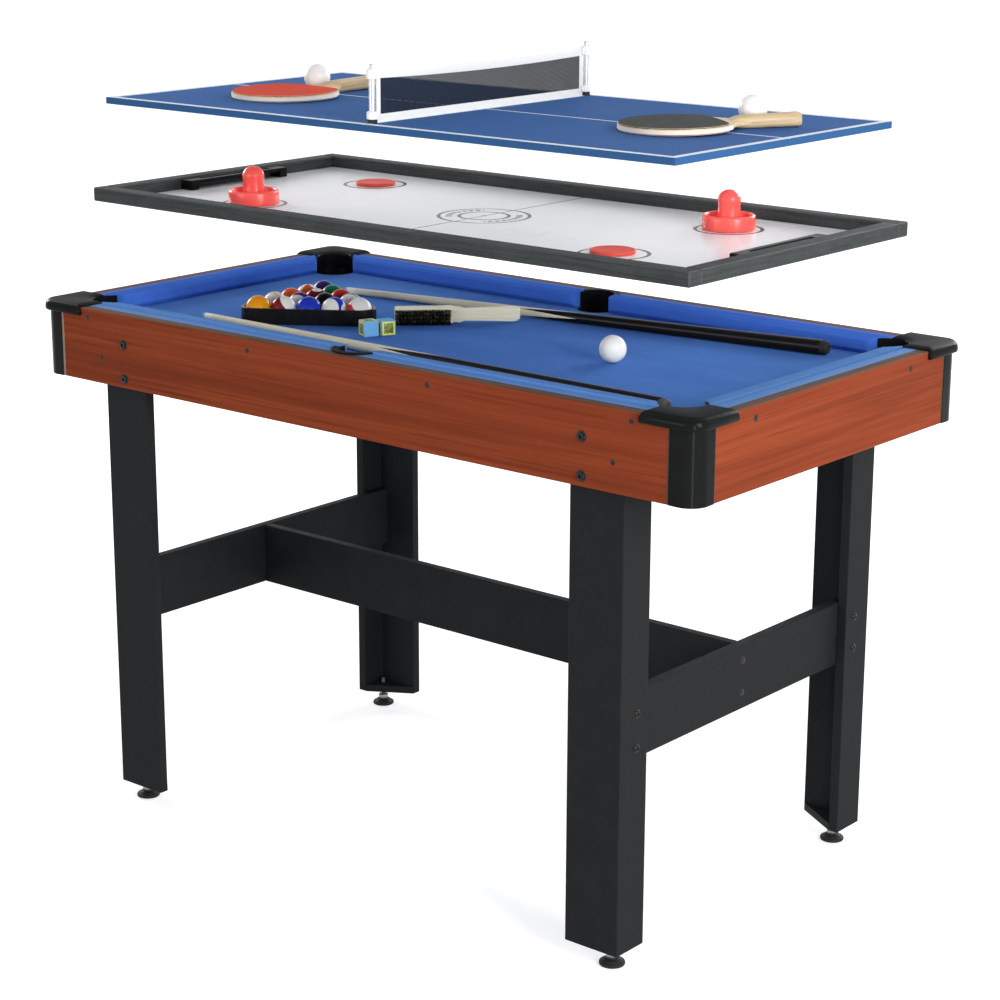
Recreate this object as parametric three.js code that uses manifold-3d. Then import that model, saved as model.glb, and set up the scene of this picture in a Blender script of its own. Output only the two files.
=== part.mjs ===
// Three games on one table: a pool table, with a glide hockey board and a tennis board that lift off it.
// Lengths are in millimetres. The origin is on the floor under the middle of the table,
// +X runs along the table's length, the front long side faces -Y, and +Z is up.
import * as THREE from 'three';
import { mergeVertices } from 'three/addons/utils/BufferGeometryUtils.js';
import Module from 'manifold-3d';

const wasm = await Module();
wasm.setup();

// Clearances
const seatGap = 0.3; // between pieces that rest on or meet each other
const weldTolerance = 0.0001;

// Pool table body
const tableLength = 1219;
const tableWidth = 640;
const railTopHeight = 785;
const apronHeight = 111;
const boardThickness = 15; // aprons, legs and stretchers
const railWidth = 40; // flat top of the rail
const railThickness = 18;
const bedDepth = 23; // from the rail top down to the cloth
const bedThickness = 12;

// Cushions
const cushionWidth = 25;
const cushionRise = 3; // above the rail top, along the rail
const cushionFall = 1.5; // a cushion's top falls by this much towards its nose
const cushionNoseBevel = 4;
const cushionNoseHeight = 18;
const cushionUndercut = 5;
const jawStart = 107; // from the table's outer corner to a cushion's end
const jawRound = 8;
const sideJawRound = 14;

// Corner pieces and pockets
const columnSide = 40;
const columnRadius = 26;
const columnProud = 1;
const capWing = 86;
const capOverhang = 6.5;
const capDrop = 12;
const capRise = 5;
const capBevel = 1;
const capSlope = 5; // the cap's faces lean in by this much from bottom to top
const cornerPocketInset = 73.5; // pocket centre from the table's outer faces
const cornerPocketRadius = 30;
const cornerMouthOffset = 5; // pocket centre to the mouth's cut, on the diagonal
const sidePocketInset = 48;
const sidePocketRadius = 27;
const sideMouthOffset = 3; // pocket centre to the cut where the liner opens to the bed
const sideFlangeWidth = 7;
const sideFlangeRise = 2.5;
const linerWall = 3;
const cupDepth = 60; // below the cloth
const notchHalfWidth = 27;

// Legs, feet and stretchers
const legEndInset = 119.5; // from the table's end to a leg's outer face
const legWidthX = 88;
const legWidthY = 60;
const legBottom = 27;
const footPlateThickness = 12;
const footPlateX = 72;
const footPlateY = 44;
const levelerInset = 28;
const levelerPadRadius = 18;
const levelerPadEdge = 3;
const levelerDomeRadius = 15;
const levelerDomeTop = 7;
const levelerNeckRadius = 8;
const levelerNeckStart = 10;
const levelerNeckTop = 20;
const levelerStemRadius = 4;
const levelerStemRise = 10; // above the foot plate
const stretcherBottom = 292;
const stretcherHeight = 96;

// Hockey board
const hockeyEndMargin = 57; // from the table's outer faces in to the board's
const hockeySideMargin = 58;
const hockeyLift = 152; // from the rail top up to the board's underside, as it is shown lifted
const hockeyFrameHeight = 21;
const hockeyFrameWidth = 25;
const hockeyPanelThickness = 3;
const goalLength = 210;
const goalDepth = 24;
const goalHeight = 15;
const goalMouthLength = 178;
const goalMouthHeight = 9;
const goalSlotLength = 150;
const goalSlotWidth = 8;
const goalSlotDepth = 3;
const ringEndInset = 214.5; // face-off places, where pushers and pucks stand
const ringSideInset = 128;
const puckRadius = 31;
const puckThickness = 5;
const puckEdge = 1;
const puckShiftX = 4;
const puckShiftY = 3;
const pusherRadius = 38;
const pusherRimHeight = 21;
const pusherRimWidth = 6;
const pusherRimRound = 2;
const pusherFloor = 8;
const pusherKnobRadius = 16.5;
const pusherKnobHeight = 56;
const pusherKnobFoot = 19;
const pusherFootRise = 5;

// Tennis board
const tennisEndMargin = 87; // from the table's outer faces in to the board's
const tennisSideMargin = 64;
const tennisLift = 127; // from the hockey frame's top up to the board's underside, as it is shown lifted
const tennisThickness = 10;
const postInset = 19;
const postRadius = 4.5;
const postCollarRadius = 8;
const postCollarHeight = 12;
const postClipBottom = 60;
const postClipTop = 73;
const postHeight = 80;
const postTipBevel = 1.5;
const netTop = 72;
const netThickness = 1.2;
const netTopTape = 12;
const netBottomTape = 11;
const netSleeve = 8;
const netStrand = 1;
const netColumns = 44;
const netRows = 4;
const bladeRadiusX = 78;
const bladeRadiusY = 81;
const bladeThickness = 10;
const handleLength = 100;
const handleWidth = 27;
const handleThickness = 20;
const handleBevel = 5;
const handleLap = 2;
const throatReach = 62; // from the blade's middle to where the throat is widest
const throatLength = 44;
const throatWidth = 62;
const redPaddleInset = 204.5; // blade's middle from the board's end
const redPaddleY = -83;
const blackPaddleInset = 166.5;
const blackPaddleY = -24;
const tennisBallRadius = 20;
const leftTennisBallInset = 173.5;
const leftTennisBallY = 18;
const rightTennisBallInset = 127.5;
const rightTennisBallY = 101;

// Things on the bed
const ballRadius = 19.5;
const ballPress = 0.3; // neighbouring racked balls touch by this much
const rackClearance = 1.2;
const rackWall = 5;
const rackHeight = 24;
const rackEndInset = 277.8; // front row's middle from the left cushion's nose
const cueBallReach = 433; // from the rack's right corner
const cueBallRise = 70; // from the front row's middle
const cueTipRadius = 5;
const cueButtRadius = 11;
const cueBumperRadius = 9;
const cueBumperLength = 8;
const backCueTipInset = 157.1; // cue ends are placed from the cushions' noses
const backCueEndInset = 83;
const frontCueTipInset = 138.4;
const frontCueEndInset = 43.2;
const brushRackGap = 17.9;
const brushLength = 190;
const brushHeight = 26;
const brushThickness = 10;
const brushHeadLength = 88;
const brushHandleHeight = 22;
const brushRound = 5;
const bristleLength = 14;
const bristleBacking = 2;
const bristleMargin = 2;
const bristleRadius = 0.55;
const bristleColumns = 38;
const bristleRows = 8;
const chalkSide = 23;
const chalkEdge = 1;
const frontChalkReach = 47; // from the rack's right corner
const frontChalkDrop = 15; // in front of the front row's middle
const backChalkReach = 61;
const backChalkRise = 6.7; // behind the front row's middle
const chalkDimpleRadius = 7;
const chalkDimpleDepth = 2;

// Shares of the cloth's width that the rack and the cues' tips leave free
const frontCueShare = 0.248; // from the front nose to the front cue's tip
const rackShare = 0.039; // from there to the rack
const backCueShare = 0.48; // from the back cue's tip to the back nose
const frontCueEndShare = 0.084; // from the front nose to the middle of the front cue's end
const backCueEndShare = 0.149;
const brushShare = 0.259; // from the front row's middle to the brush

// Angles in degrees and numbers of steps
const fullAngle = 360;
const rightAngle = 90;
const rackAngle = 34;
const redPaddleAngle = 87;
const blackPaddleAngle = 55;
const brushAngle = 44;
const chalkAngle = 65;
const roundSteps = 24;
const cornerSteps = 6;
const smallSteps = 12;
const ballSteps = 16;
const ballRings = 12;
const rackedBallSteps = 12;
const rackedBallRings = 6;
const rackRows = 5;
const bladeSteps = 32;
const strandSides = 3;

// Heights and half sizes that follow from the sizes above
const halfLength = tableLength / 2;
const halfWidth = tableWidth / 2;
const apronBottom = railTopHeight - apronHeight;
const bedTop = railTopHeight - bedDepth;
const bedBottom = bedTop - bedThickness;
const cupBottom = bedTop - cupDepth;
const plateBottom = railTopHeight + seatGap;
const capTop = railTopHeight + capRise;
const flangeTop = railTopHeight + sideFlangeRise;
const capFuse = (plateBottom + capTop) / 2;
const flangeFuse = (plateBottom + flangeTop) / 2;
const cornerOuter = cornerPocketRadius + linerWall;
const sideOuter = sidePocketRadius + linerWall;
const noseInset = railWidth + seatGap + cushionWidth;
const legX = halfLength - legEndInset;
const legY = halfWidth - boardThickness - seatGap;
const legTop = bedBottom - seatGap;
const sidePocketY = halfWidth - sidePocketInset;
const endNose = halfLength - noseInset;
const sideNose = halfWidth - noseInset;
const bedSeat = bedTop + seatGap;
const hockeyX = halfLength - hockeyEndMargin;
const hockeyY = halfWidth - hockeySideMargin;
const hockeyBottom = railTopHeight + hockeyLift;
const hockeyTop = hockeyBottom + hockeyFrameHeight;
const hockeySurface = hockeyBottom + hockeyPanelThickness;
const surfaceSeat = hockeySurface + seatGap;
const ringX = hockeyX - ringEndInset;
const ringY = hockeyY - ringSideInset;
const tennisX = halfLength - tennisEndMargin;
const tennisY = halfWidth - tennisSideMargin;
const tennisTop = hockeyTop + tennisLift + tennisThickness;
const boardSeat = tennisTop + seatGap;
const postY = tennisY - postInset;

// Colours and finishes
const finishes = {
  wood: [0x8f3f26, 0.42, 0],
  black: [0x1d1e20, 0.45, 0],
  glossBlack: [0x121314, 0.22, 0],
  cloth: [0x2c56b4, 0.95, 0],
  white: [0xe4e8ee, 0.18, 0],
  red: [0xe03030, 0.3, 0],
  blueBoard: [0x2d5597, 0.4, 0],
  grey: [0xa9abad, 0.35, 0],
  net: [0xd8dad8, 0.8, 0],
  redRubber: [0xc8372c, 0.6, 0],
  blackRubber: [0x26262a, 0.6, 0],
  ball: [0xf3f1e8, 0.2, 0],
  racked: [0xc98a2e, 0.15, 0],
  cue: [0xd9c494, 0.35, 0],
  brush: [0xe6d9ae, 0.5, 0],
  bristle: [0x141414, 0.9, 0],
  chalk: [0x5aa6dc, 0.9, 0],
};

const group = new THREE.Group();
group.name = 'multi_game_table';

function place(name, geometry, finish) {
  const [colour, roughness, metalness] = finishes[finish];
  const material = new THREE.MeshStandardMaterial({ color: colour, roughness, metalness });
  const mesh = new THREE.Mesh(geometry, material);
  mesh.name = name;
  group.add(mesh);
  return mesh;
}

function placeAt(name, geometry, finish, x, y, z, turn = 0) {
  const mesh = place(name, geometry, finish);
  mesh.position.set(x, y, z);
  mesh.rotation.z = THREE.MathUtils.degToRad(turn);
}

// Join and cut closed geometries
function solidOf(geometry) {
  const plain = geometry.clone();
  plain.deleteAttribute('normal');
  plain.deleteAttribute('uv');
  const welded = mergeVertices(plain, weldTolerance);
  const mesh = new wasm.Mesh({
    numProp: 3,
    vertProperties: new Float32Array(welded.attributes.position.array),
    triVerts: new Uint32Array(welded.index.array),
  });
  return new wasm.Manifold(mesh);
}

function geometryOf(solid) {
  const mesh = solid.getMesh();
  const geometry = new THREE.BufferGeometry();
  const points = new Float32Array(mesh.vertProperties);
  geometry.setAttribute('position', new THREE.BufferAttribute(points, 3));
  geometry.setIndex(new THREE.BufferAttribute(new Uint32Array(mesh.triVerts), 1));
  geometry.computeVertexNormals();
  return geometry;
}

function join(...geometries) {
  return geometryOf(geometries.map(solidOf).reduce((sum, next) => sum.add(next)));
}

function cut(base, ...tools) {
  return geometryOf(tools.map(solidOf).reduce((rest, tool) => rest.subtract(tool), solidOf(base)));
}

function common(one, other) {
  return geometryOf(solidOf(one).intersect(solidOf(other)));
}

// Plain forms in table coordinates
function block(x0, x1, y0, y1, z0, z1) {
  const geometry = new THREE.BoxGeometry(Math.abs(x1 - x0), Math.abs(y1 - y0), Math.abs(z1 - z0));
  return geometry.translate((x0 + x1) / 2, (y0 + y1) / 2, (z0 + z1) / 2);
}

function shapeOf(points) {
  return new THREE.Shape(points.map(([x, y]) => new THREE.Vector2(x, y)));
}

function plate(points, z0, z1) {
  const options = { depth: z1 - z0, bevelEnabled: false };
  return new THREE.ExtrudeGeometry(shapeOf(points), options).translate(0, 0, z0);
}

function turnBasis(geometry, xAxis, yAxis, zAxis) {
  return geometry.applyMatrix4(new THREE.Matrix4().makeBasis(xAxis, yAxis, zAxis));
}

const unitX = new THREE.Vector3(1, 0, 0);
const unitY = new THREE.Vector3(0, 1, 0);
const unitZ = new THREE.Vector3(0, 0, 1);

function barAlongX(section, x0, x1) {
  const bar = plate(section, x0, x1);
  return turnBasis(bar, unitY, unitZ, unitX);
}

function barAlongY(section, y0, y1) {
  const bar = plate(section, -y1, -y0);
  return turnBasis(bar, unitX, unitZ, unitY.clone().negate());
}

function postAt(x, y, radius, z0, z1, steps) {
  const post = new THREE.CylinderGeometry(radius, radius, z1 - z0, steps);
  return post.rotateX(Math.PI / 2).translate(x, y, (z0 + z1) / 2);
}

function turned(profile, steps) {
  const points = profile.map(([r, z]) => new THREE.Vector2(r, z));
  return geometryOf(solidOf(new THREE.LatheGeometry(points, steps).rotateX(Math.PI / 2)));
}

function arc(cx, cy, radius, from, to, steps) {
  const points = [];
  for (let i = 0; i <= steps; i += 1) {
    const angle = THREE.MathUtils.degToRad(from + ((to - from) * i) / steps);
    points.push([cx + radius * Math.cos(angle), cy + radius * Math.sin(angle)]);
  }
  return points;
}

function curve(start, control, end, steps) {
  const bend = new THREE.QuadraticBezierCurve(
    new THREE.Vector2(...start),
    new THREE.Vector2(...control),
    new THREE.Vector2(...end),
  );
  return bend.getPoints(steps).map((p) => [p.x, p.y]);
}

// Points given as distances in from the table's end and side faces
function fromCorner(points, sx, sy) {
  return points.map(([u, v]) => [sx * (halfLength - u), sy * (halfWidth - v)]);
}

function fromSide(points, sy) {
  return points.map(([x, v]) => [x, sy * (halfWidth - v)]);
}

const cornerPockets = [];
for (const sx of [-1, 1]) {
  for (const sy of [-1, 1]) {
    const x = sx * (halfLength - cornerPocketInset);
    const y = sy * (halfWidth - cornerPocketInset);
    cornerPockets.push([sx, sy, x, y]);
  }
}

function cornerHoles(z0, z1) {
  return cornerPockets.map(([, , x, y]) => postAt(x, y, cornerOuter + seatGap, z0, z1, roundSteps));
}

function sideHole(sy, z0, z1) {
  return postAt(0, sy * sidePocketY, sideOuter + seatGap, z0, z1, roundSteps);
}

// Aprons: a standing board with the flat rail top, cut round at the pockets
function apronSection(outer, sign) {
  return [
    [outer, apronBottom],
    [outer, railTopHeight],
    [outer + sign * railWidth, railTopHeight],
    [outer + sign * railWidth, railTopHeight - railThickness],
    [outer + sign * boardThickness, railTopHeight - railThickness],
    [outer + sign * boardThickness, apronBottom],
  ];
}

const apronX = halfLength - columnSide - seatGap;
const apronY = halfWidth - columnSide - seatGap;
for (const [name, sy] of [['front_apron', -1], ['back_apron', 1]]) {
  const board = barAlongX(apronSection(sy * halfWidth, -sy), -apronX, apronX);
  const holes = [...cornerHoles(apronBottom, capTop), sideHole(sy, apronBottom, capTop)];
  place(name, cut(board, ...holes), 'wood');
}
for (const [name, sx] of [['left_apron', -1], ['right_apron', 1]]) {
  const board = barAlongY(apronSection(sx * halfLength, -sx), -apronY, apronY);
  place(name, cut(board, ...cornerHoles(apronBottom, capTop)), 'wood');
}

// Playing bed, notched at the six pockets
const bedInset = boardThickness + seatGap;
const bedPlate = block(
  bedInset - halfLength,
  halfLength - bedInset,
  bedInset - halfWidth,
  halfWidth - bedInset,
  bedBottom,
  bedTop,
);
const holeBottom = bedBottom - seatGap;
const holeTop = bedTop + seatGap;
const bedCorners = cornerPockets.map(([sx, sy]) => plate(fromCorner([
  [0, 0],
  [2 * cornerPocketInset, 0],
  [0, 2 * cornerPocketInset],
], sx, sy), holeBottom, holeTop));
const bedSides = [-1, 1].map((sy) => (
  block(-notchHalfWidth, notchHalfWidth, sy * sidePocketY, sy * halfWidth, holeBottom, holeTop)
));
const bedHoles = [
  ...cornerHoles(holeBottom, holeTop),
  ...[-1, 1].map((sy) => sideHole(sy, holeBottom, holeTop)),
];
place('playing_bed', cut(bedPlate, ...bedCorners, ...bedSides, ...bedHoles), 'cloth');

// Cushions: a nosed bar with slanted jaws at the corners and rounded ends at the side pockets
const cushionInset = railWidth + seatGap;
const cushionTop = railTopHeight + cushionRise;
const noseTop = cushionTop - cushionFall;
const cushionFoot = bedTop + seatGap;

function cushionSection(outer, sign) {
  return [
    [outer + sign * cushionInset, cushionFoot],
    [outer + sign * cushionInset, cushionTop],
    [outer + sign * (noseInset - cushionNoseBevel), noseTop],
    [outer + sign * noseInset, noseTop - cushionNoseBevel],
    [outer + sign * noseInset, noseTop - cushionNoseHeight],
    [outer + sign * (noseInset - cushionUndercut), cushionFoot],
  ];
}

const jawBack = capWing + seatGap; // the cushions' back edges end at the caps
const jawCurve = curve(
  [jawStart - jawRound, noseInset - jawRound],
  [jawStart, noseInset],
  [jawStart + jawRound, noseInset],
  cornerSteps,
);
const sideEnd = sideOuter + seatGap;
const sideCurve = curve(
  [sideEnd, noseInset - sideJawRound],
  [sideEnd, noseInset],
  [sideEnd + sideJawRound, noseInset],
  cornerSteps,
);

for (const [side, sy] of [['front', -1], ['back', 1]]) {
  for (const [half, sx] of [['left', -1], ['right', 1]]) {
    const cornerPart = [[jawBack, cushionInset], ...jawCurve].map(([u, v]) => [sx * (halfLength - u), v]);
    const sidePart = [[sideEnd, cushionInset], ...sideCurve].map(([x, v]) => [sx * x, v]);
    const plan = fromSide([...cornerPart, ...sidePart.reverse()], sy);
    const bar = barAlongX(cushionSection(sy * halfWidth, -sy), -halfLength, halfLength);
    const shaped = common(plate(plan, bedTop, capTop), bar);
    const trimmed = cut(shaped, ...cornerHoles(bedTop, capTop), sideHole(sy, bedTop, capTop));
    place(`cushion_${side}_${half}`, trimmed, 'cloth');
  }
}
for (const [side, sx] of [['left', -1], ['right', 1]]) {
  const oneEnd = [[jawBack, cushionInset], ...jawCurve];
  const frontPart = oneEnd.map(([v, u]) => [sx * (halfLength - u), v - halfWidth]);
  const backPart = oneEnd.map(([v, u]) => [sx * (halfLength - u), halfWidth - v]).reverse();
  const bar = barAlongY(cushionSection(sx * halfLength, -sx), -halfWidth, halfWidth);
  const shaped = common(plate([...frontPart, ...backPart], bedTop, capTop), bar);
  place(`cushion_end_${side}`, cut(shaped, ...cornerHoles(bedTop, capTop)), 'cloth');
}

// Corner pieces: rounded column, bevelled cap with two wings, and the pocket in one moulding
function cup(x, y, inner, z1) {
  const outside = postAt(x, y, inner + linerWall, cupBottom, z1, roundSteps);
  const inside = postAt(x, y, inner, cupBottom + linerWall, z1 + linerWall, roundSteps);
  return cut(outside, inside);
}

// Section of the cap's leaning faces, from a wing's end to the outer face
function leaning(sign, face, skirtBottom) {
  return [
    [sign * (face + capOverhang), skirtBottom],
    [sign * (face - capWing), skirtBottom],
    [sign * (face - capWing + capSlope), capTop],
    [sign * (face + capOverhang - capSlope), capTop],
  ];
}

// The cap's rounded corner leans in as a cone, and a box stands for the rest
function leaningCorner(sx, sy, centre, skirtBottom) {
  const height = capTop - skirtBottom;
  const steps = 4 * cornerSteps;
  const x = sx * (halfLength - centre);
  const y = sy * (halfWidth - centre);
  const cone = new THREE.CylinderGeometry(columnRadius - capSlope, columnRadius, height, steps);
  cone.rotateX(Math.PI / 2).translate(x, y, skirtBottom + height / 2);
  const face = halfLength + capOverhang;
  const side = halfWidth + capOverhang;
  const alongX = block(0, x, 0, sy * side, skirtBottom, capTop);
  const alongY = block(0, sx * face, 0, y, skirtBottom, capTop);
  return join(cone, alongX, alongY);
}

function cornerPiece(sx, sy, x, y) {
  const columnCentre = columnRadius - columnProud;
  const column = plate(fromCorner([
    [columnSide, -columnProud],
    ...arc(columnCentre, columnCentre, columnRadius, 3 * rightAngle, 2 * rightAngle, cornerSteps),
    [-columnProud, columnSide],
    [boardThickness, columnSide],
    [boardThickness, boardThickness],
    [columnSide, boardThickness],
  ], sx, sy), apronBottom, capFuse);

  const capCentre = columnRadius - capOverhang;
  const pocketCentre = cornerPocketInset;
  const opening = THREE.MathUtils.radToDeg(Math.acos((capWing - pocketCentre) / cornerPocketRadius));
  const holeFrom = rightAngle + opening;
  const holeTo = fullAngle - opening;
  const outline = fromCorner([
    [capWing, -capOverhang],
    ...arc(capCentre, capCentre, columnRadius, 3 * rightAngle, 2 * rightAngle, cornerSteps),
    [-capOverhang, capWing],
    ...arc(pocketCentre, pocketCentre, cornerPocketRadius, holeFrom, holeTo, roundSteps),
  ], sx, sy);
  const skirtBottom = plateBottom - capDrop;
  const moulded = new THREE.ExtrudeGeometry(shapeOf(outline), {
    depth: capTop - skirtBottom,
    bevelEnabled: true,
    bevelThickness: capBevel,
    bevelSize: capBevel,
    bevelOffset: -capBevel,
    bevelSegments: 2,
  }).translate(0, 0, skirtBottom - capBevel);
  const below = skirtBottom - 2 * capBevel;
  const wingsX = barAlongY(leaning(sx, halfLength, skirtBottom), -tableWidth, tableWidth);
  const wingsY = barAlongX(leaning(sy, halfWidth, skirtBottom), -tableLength, tableLength);
  const corner = leaningCorner(sx, sy, capCentre, skirtBottom);
  const room = block(0, sx * (halfLength + seatGap), 0, sy * (halfWidth + seatGap), below, plateBottom);
  const cap = cut(common(common(common(moulded, wingsX), wingsY), corner), room);

  const mouthReach = 2 * capWing;
  const mouth = block(cornerMouthOffset, mouthReach, -mouthReach, mouthReach, bedTop, capTop + capRise);
  mouth.rotateZ(Math.atan2(-sy, -sx)).translate(x, y, 0);
  return join(column, cap, cut(cup(x, y, cornerPocketRadius, capFuse), mouth));
}

for (const [sx, sy, x, y] of cornerPockets) {
  const name = `corner_piece_${sy < 0 ? 'front' : 'back'}_${sx < 0 ? 'left' : 'right'}`;
  place(name, cornerPiece(sx, sy, x, y), 'black');
}

// Side pockets: a cup whose flange lies on the rail top
for (const [side, sy] of [['front', -1], ['back', 1]]) {
  const y = sy * sidePocketY;
  const outer = sy * halfWidth;
  const ledgeEdge = sy * (halfWidth - railWidth);
  const mouth = block(-tableLength, tableLength, 0, sy * (sidePocketY - sideMouthOffset), bedTop, capTop);
  const disc = postAt(0, y, sideOuter + sideFlangeWidth, plateBottom, flangeTop, roundSteps);
  const ledge = block(-tableLength, tableLength, ledgeEdge, outer, plateBottom, flangeTop);
  const bore = postAt(0, y, sidePocketRadius, bedTop, capTop, roundSteps);
  const flange = cut(common(disc, ledge), bore);
  const pocket = cut(cup(0, y, sidePocketRadius, flangeFuse), mouth);
  place(`side_pocket_${side}`, join(pocket, flange), 'black');
}

// Legs: two boards in an L, a three-cornered foot plate and a screw-in leveler
const legCorner = footPlateThickness + legBottom;
const levelerProfile = [
  [0, 0],
  [levelerPadRadius, 0],
  [levelerPadRadius, levelerPadEdge],
  [levelerDomeRadius, levelerDomeTop],
  [levelerNeckRadius, levelerNeckStart],
  [levelerNeckRadius, levelerNeckTop],
  [levelerStemRadius, levelerNeckTop],
  [levelerStemRadius, legCorner + levelerStemRise],
  [0, legCorner + levelerStemRise],
];
for (const [sx, sy] of cornerPockets) {
  const where = `${sy < 0 ? 'front' : 'back'}_${sx < 0 ? 'left' : 'right'}`;
  const leg = plate([
    [sx * legX, sy * legY],
    [sx * (legX - legWidthX), sy * legY],
    [sx * (legX - legWidthX), sy * (legY - boardThickness)],
    [sx * (legX - boardThickness), sy * (legY - boardThickness)],
    [sx * (legX - boardThickness), sy * (legY - legWidthY)],
    [sx * legX, sy * (legY - legWidthY)],
  ], legBottom, legTop);
  place(`leg_${where}`, leg, 'black');

  const innerX = legX - boardThickness - seatGap;
  const innerY = legY - boardThickness - seatGap;
  const levelerX = sx * (legX - levelerInset);
  const levelerY = sy * (legY - levelerInset);
  const footPlate = plate([
    [sx * innerX, sy * innerY],
    [sx * (innerX - footPlateX), sy * innerY],
    [sx * innerX, sy * (innerY - footPlateY)],
  ], legBottom, legCorner);
  const bore = postAt(levelerX, levelerY, levelerStemRadius + seatGap, 0, legCorner + legBottom, smallSteps);
  place(`foot_plate_${where}`, cut(footPlate, bore), 'black');
  placeAt(`leveler_${where}`, turned(levelerProfile, ballSteps), 'black', levelerX, levelerY, 0);
}

const stretcherTop = stretcherBottom + stretcherHeight;
const stretcherOuter = legX - boardThickness - seatGap;
const stretcherInner = stretcherOuter - boardThickness;
const stretcherReach = legY - boardThickness - seatGap;
for (const [side, sx] of [['left', -1], ['right', 1]]) {
  const board = block(
    sx * stretcherInner,
    sx * stretcherOuter,
    -stretcherReach,
    stretcherReach,
    stretcherBottom,
    stretcherTop,
  );
  place(`end_stretcher_${side}`, board, 'black');
}
const middleReach = stretcherInner - seatGap;
const halfBoard = boardThickness / 2;
const middleBoard = block(-middleReach, middleReach, -halfBoard, halfBoard, stretcherBottom, stretcherTop);
place('centre_stretcher', middleBoard, 'black');

// Hockey board: a thin panel framed by four rails
const frameX = hockeyX - hockeyFrameWidth;
const frameY = hockeyY - hockeyFrameWidth;
const panelX = frameX - seatGap;
const panelY = frameY - seatGap;
place('hockey_surface', block(-panelX, panelX, -panelY, panelY, hockeyBottom, hockeySurface), 'white');
for (const [side, sy] of [['front', -1], ['back', 1]]) {
  const rail = block(-hockeyX, hockeyX, sy * frameY, sy * hockeyY, hockeyBottom, hockeyTop);
  place(`hockey_rail_${side}`, rail, 'black');
}
for (const [side, sx] of [['left', -1], ['right', 1]]) {
  const rail = block(sx * frameX, sx * hockeyX, -panelY, panelY, hockeyBottom, hockeyTop);
  place(`hockey_rail_${side}`, rail, 'black');
  const goalBack = sx * panelX;
  const goalFront = sx * (panelX - goalDepth);
  const slotMiddle = sx * (panelX - goalDepth / 2);
  const goalTop = surfaceSeat + goalHeight;
  const bridge = block(goalBack, goalFront, -goalLength / 2, goalLength / 2, surfaceSeat, goalTop);
  const mouth = block(
    goalBack + sx * goalDepth,
    goalFront - sx * goalDepth,
    -goalMouthLength / 2,
    goalMouthLength / 2,
    hockeyBottom,
    surfaceSeat + goalMouthHeight,
  );
  const slot = block(
    slotMiddle - goalSlotWidth / 2,
    slotMiddle + goalSlotWidth / 2,
    -goalSlotLength / 2,
    goalSlotLength / 2,
    goalTop - goalSlotDepth,
    hockeyTop + goalHeight,
  );
  place(`goal_${side}`, cut(bridge, mouth, slot), 'glossBlack');
}

const pusherProfile = [
  [0, 0],
  [pusherRadius - pusherRimRound, 0],
  [pusherRadius, pusherRimRound],
  [pusherRadius, pusherRimHeight - pusherRimRound],
  [pusherRadius - pusherRimWidth / 2, pusherRimHeight],
  [pusherRadius - pusherRimWidth, pusherRimHeight - pusherRimRound],
  [pusherRadius - pusherRimWidth, pusherFloor],
  [pusherKnobFoot, pusherFloor],
  [pusherKnobRadius, pusherFloor + pusherFootRise],
  ...arc(0, pusherKnobHeight - pusherKnobRadius, pusherKnobRadius, 0, rightAngle, cornerSteps),
];
const puckProfile = [
  [0, 0],
  [puckRadius - puckEdge, 0],
  [puckRadius, puckEdge],
  [puckRadius, puckThickness - puckEdge],
  [puckRadius - puckEdge, puckThickness],
  [0, puckThickness],
];
for (const [side, sx] of [['left', -1], ['right', 1]]) {
  placeAt(`pusher_${side}`, turned(pusherProfile, roundSteps), 'red', sx * ringX, sx * ringY, surfaceSeat);
  const puckX = sx * (ringX - puckShiftX);
  const puckY = -sx * (ringY - puckShiftY);
  placeAt(`puck_${side}`, turned(puckProfile, roundSteps), 'red', puckX, puckY, surfaceSeat);
}

// Tennis board with its net set
const tennisBottom = tennisTop - tennisThickness;
const tennisPanel = block(-tennisX, tennisX, -tennisY, tennisY, tennisBottom, tennisTop);
place('tennis_board', tennisPanel, 'blueBoard');
const postProfile = [
  [0, 0],
  [postCollarRadius, 0],
  [postCollarRadius, postCollarHeight],
  [postRadius, postCollarHeight],
  [postRadius, postClipBottom],
  [postCollarRadius, postClipBottom],
  [postCollarRadius, postClipTop],
  [postRadius, postClipTop],
  [postRadius, postHeight - postTipBevel],
  [postRadius - postTipBevel, postHeight],
  [0, postHeight],
];
for (const [side, sy] of [['front', -1], ['back', 1]]) {
  placeAt(`net_post_${side}`, turned(postProfile, smallSteps), 'grey', 0, sy * postY, boardSeat);
}

const netReach = postY - postCollarRadius - seatGap;
const meshReach = netReach - netSleeve;
const meshHeight = netTop - netTopTape - netBottomTape;
const columnStep = (2 * meshReach) / netColumns;
const rowHeight = meshHeight / netRows;
const halfNet = netThickness / 2;
const halfStrand = netStrand / 2;
const netSheet = block(-halfNet, halfNet, -netReach, netReach, 0, netTop);
const netHole = block(-netThickness, netThickness, -meshReach, meshReach, netBottomTape, netTop - netTopTape);
const netStrands = [];
for (let column = 1; column < netColumns; column += 1) {
  const y = column * columnStep - meshReach;
  const top = netTop - netTopTape / 2;
  netStrands.push(block(-halfNet, halfNet, y - halfStrand, y + halfStrand, netBottomTape / 2, top));
}
for (let row = 1; row < netRows; row += 1) {
  const z = netBottomTape + row * rowHeight;
  const end = meshReach + netSleeve / 2;
  netStrands.push(block(-halfNet, halfNet, -end, end, z - halfStrand, z + halfStrand));
}
placeAt('tennis_net', join(cut(netSheet, netHole), ...netStrands), 'net', 0, 0, boardSeat);

// Paddles: an oval blade, a throat and a bevelled handle, lying on blade tip and handle end
const handleStart = bladeRadiusX - handleLap;
const handleEnd = handleStart + handleLength;

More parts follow.
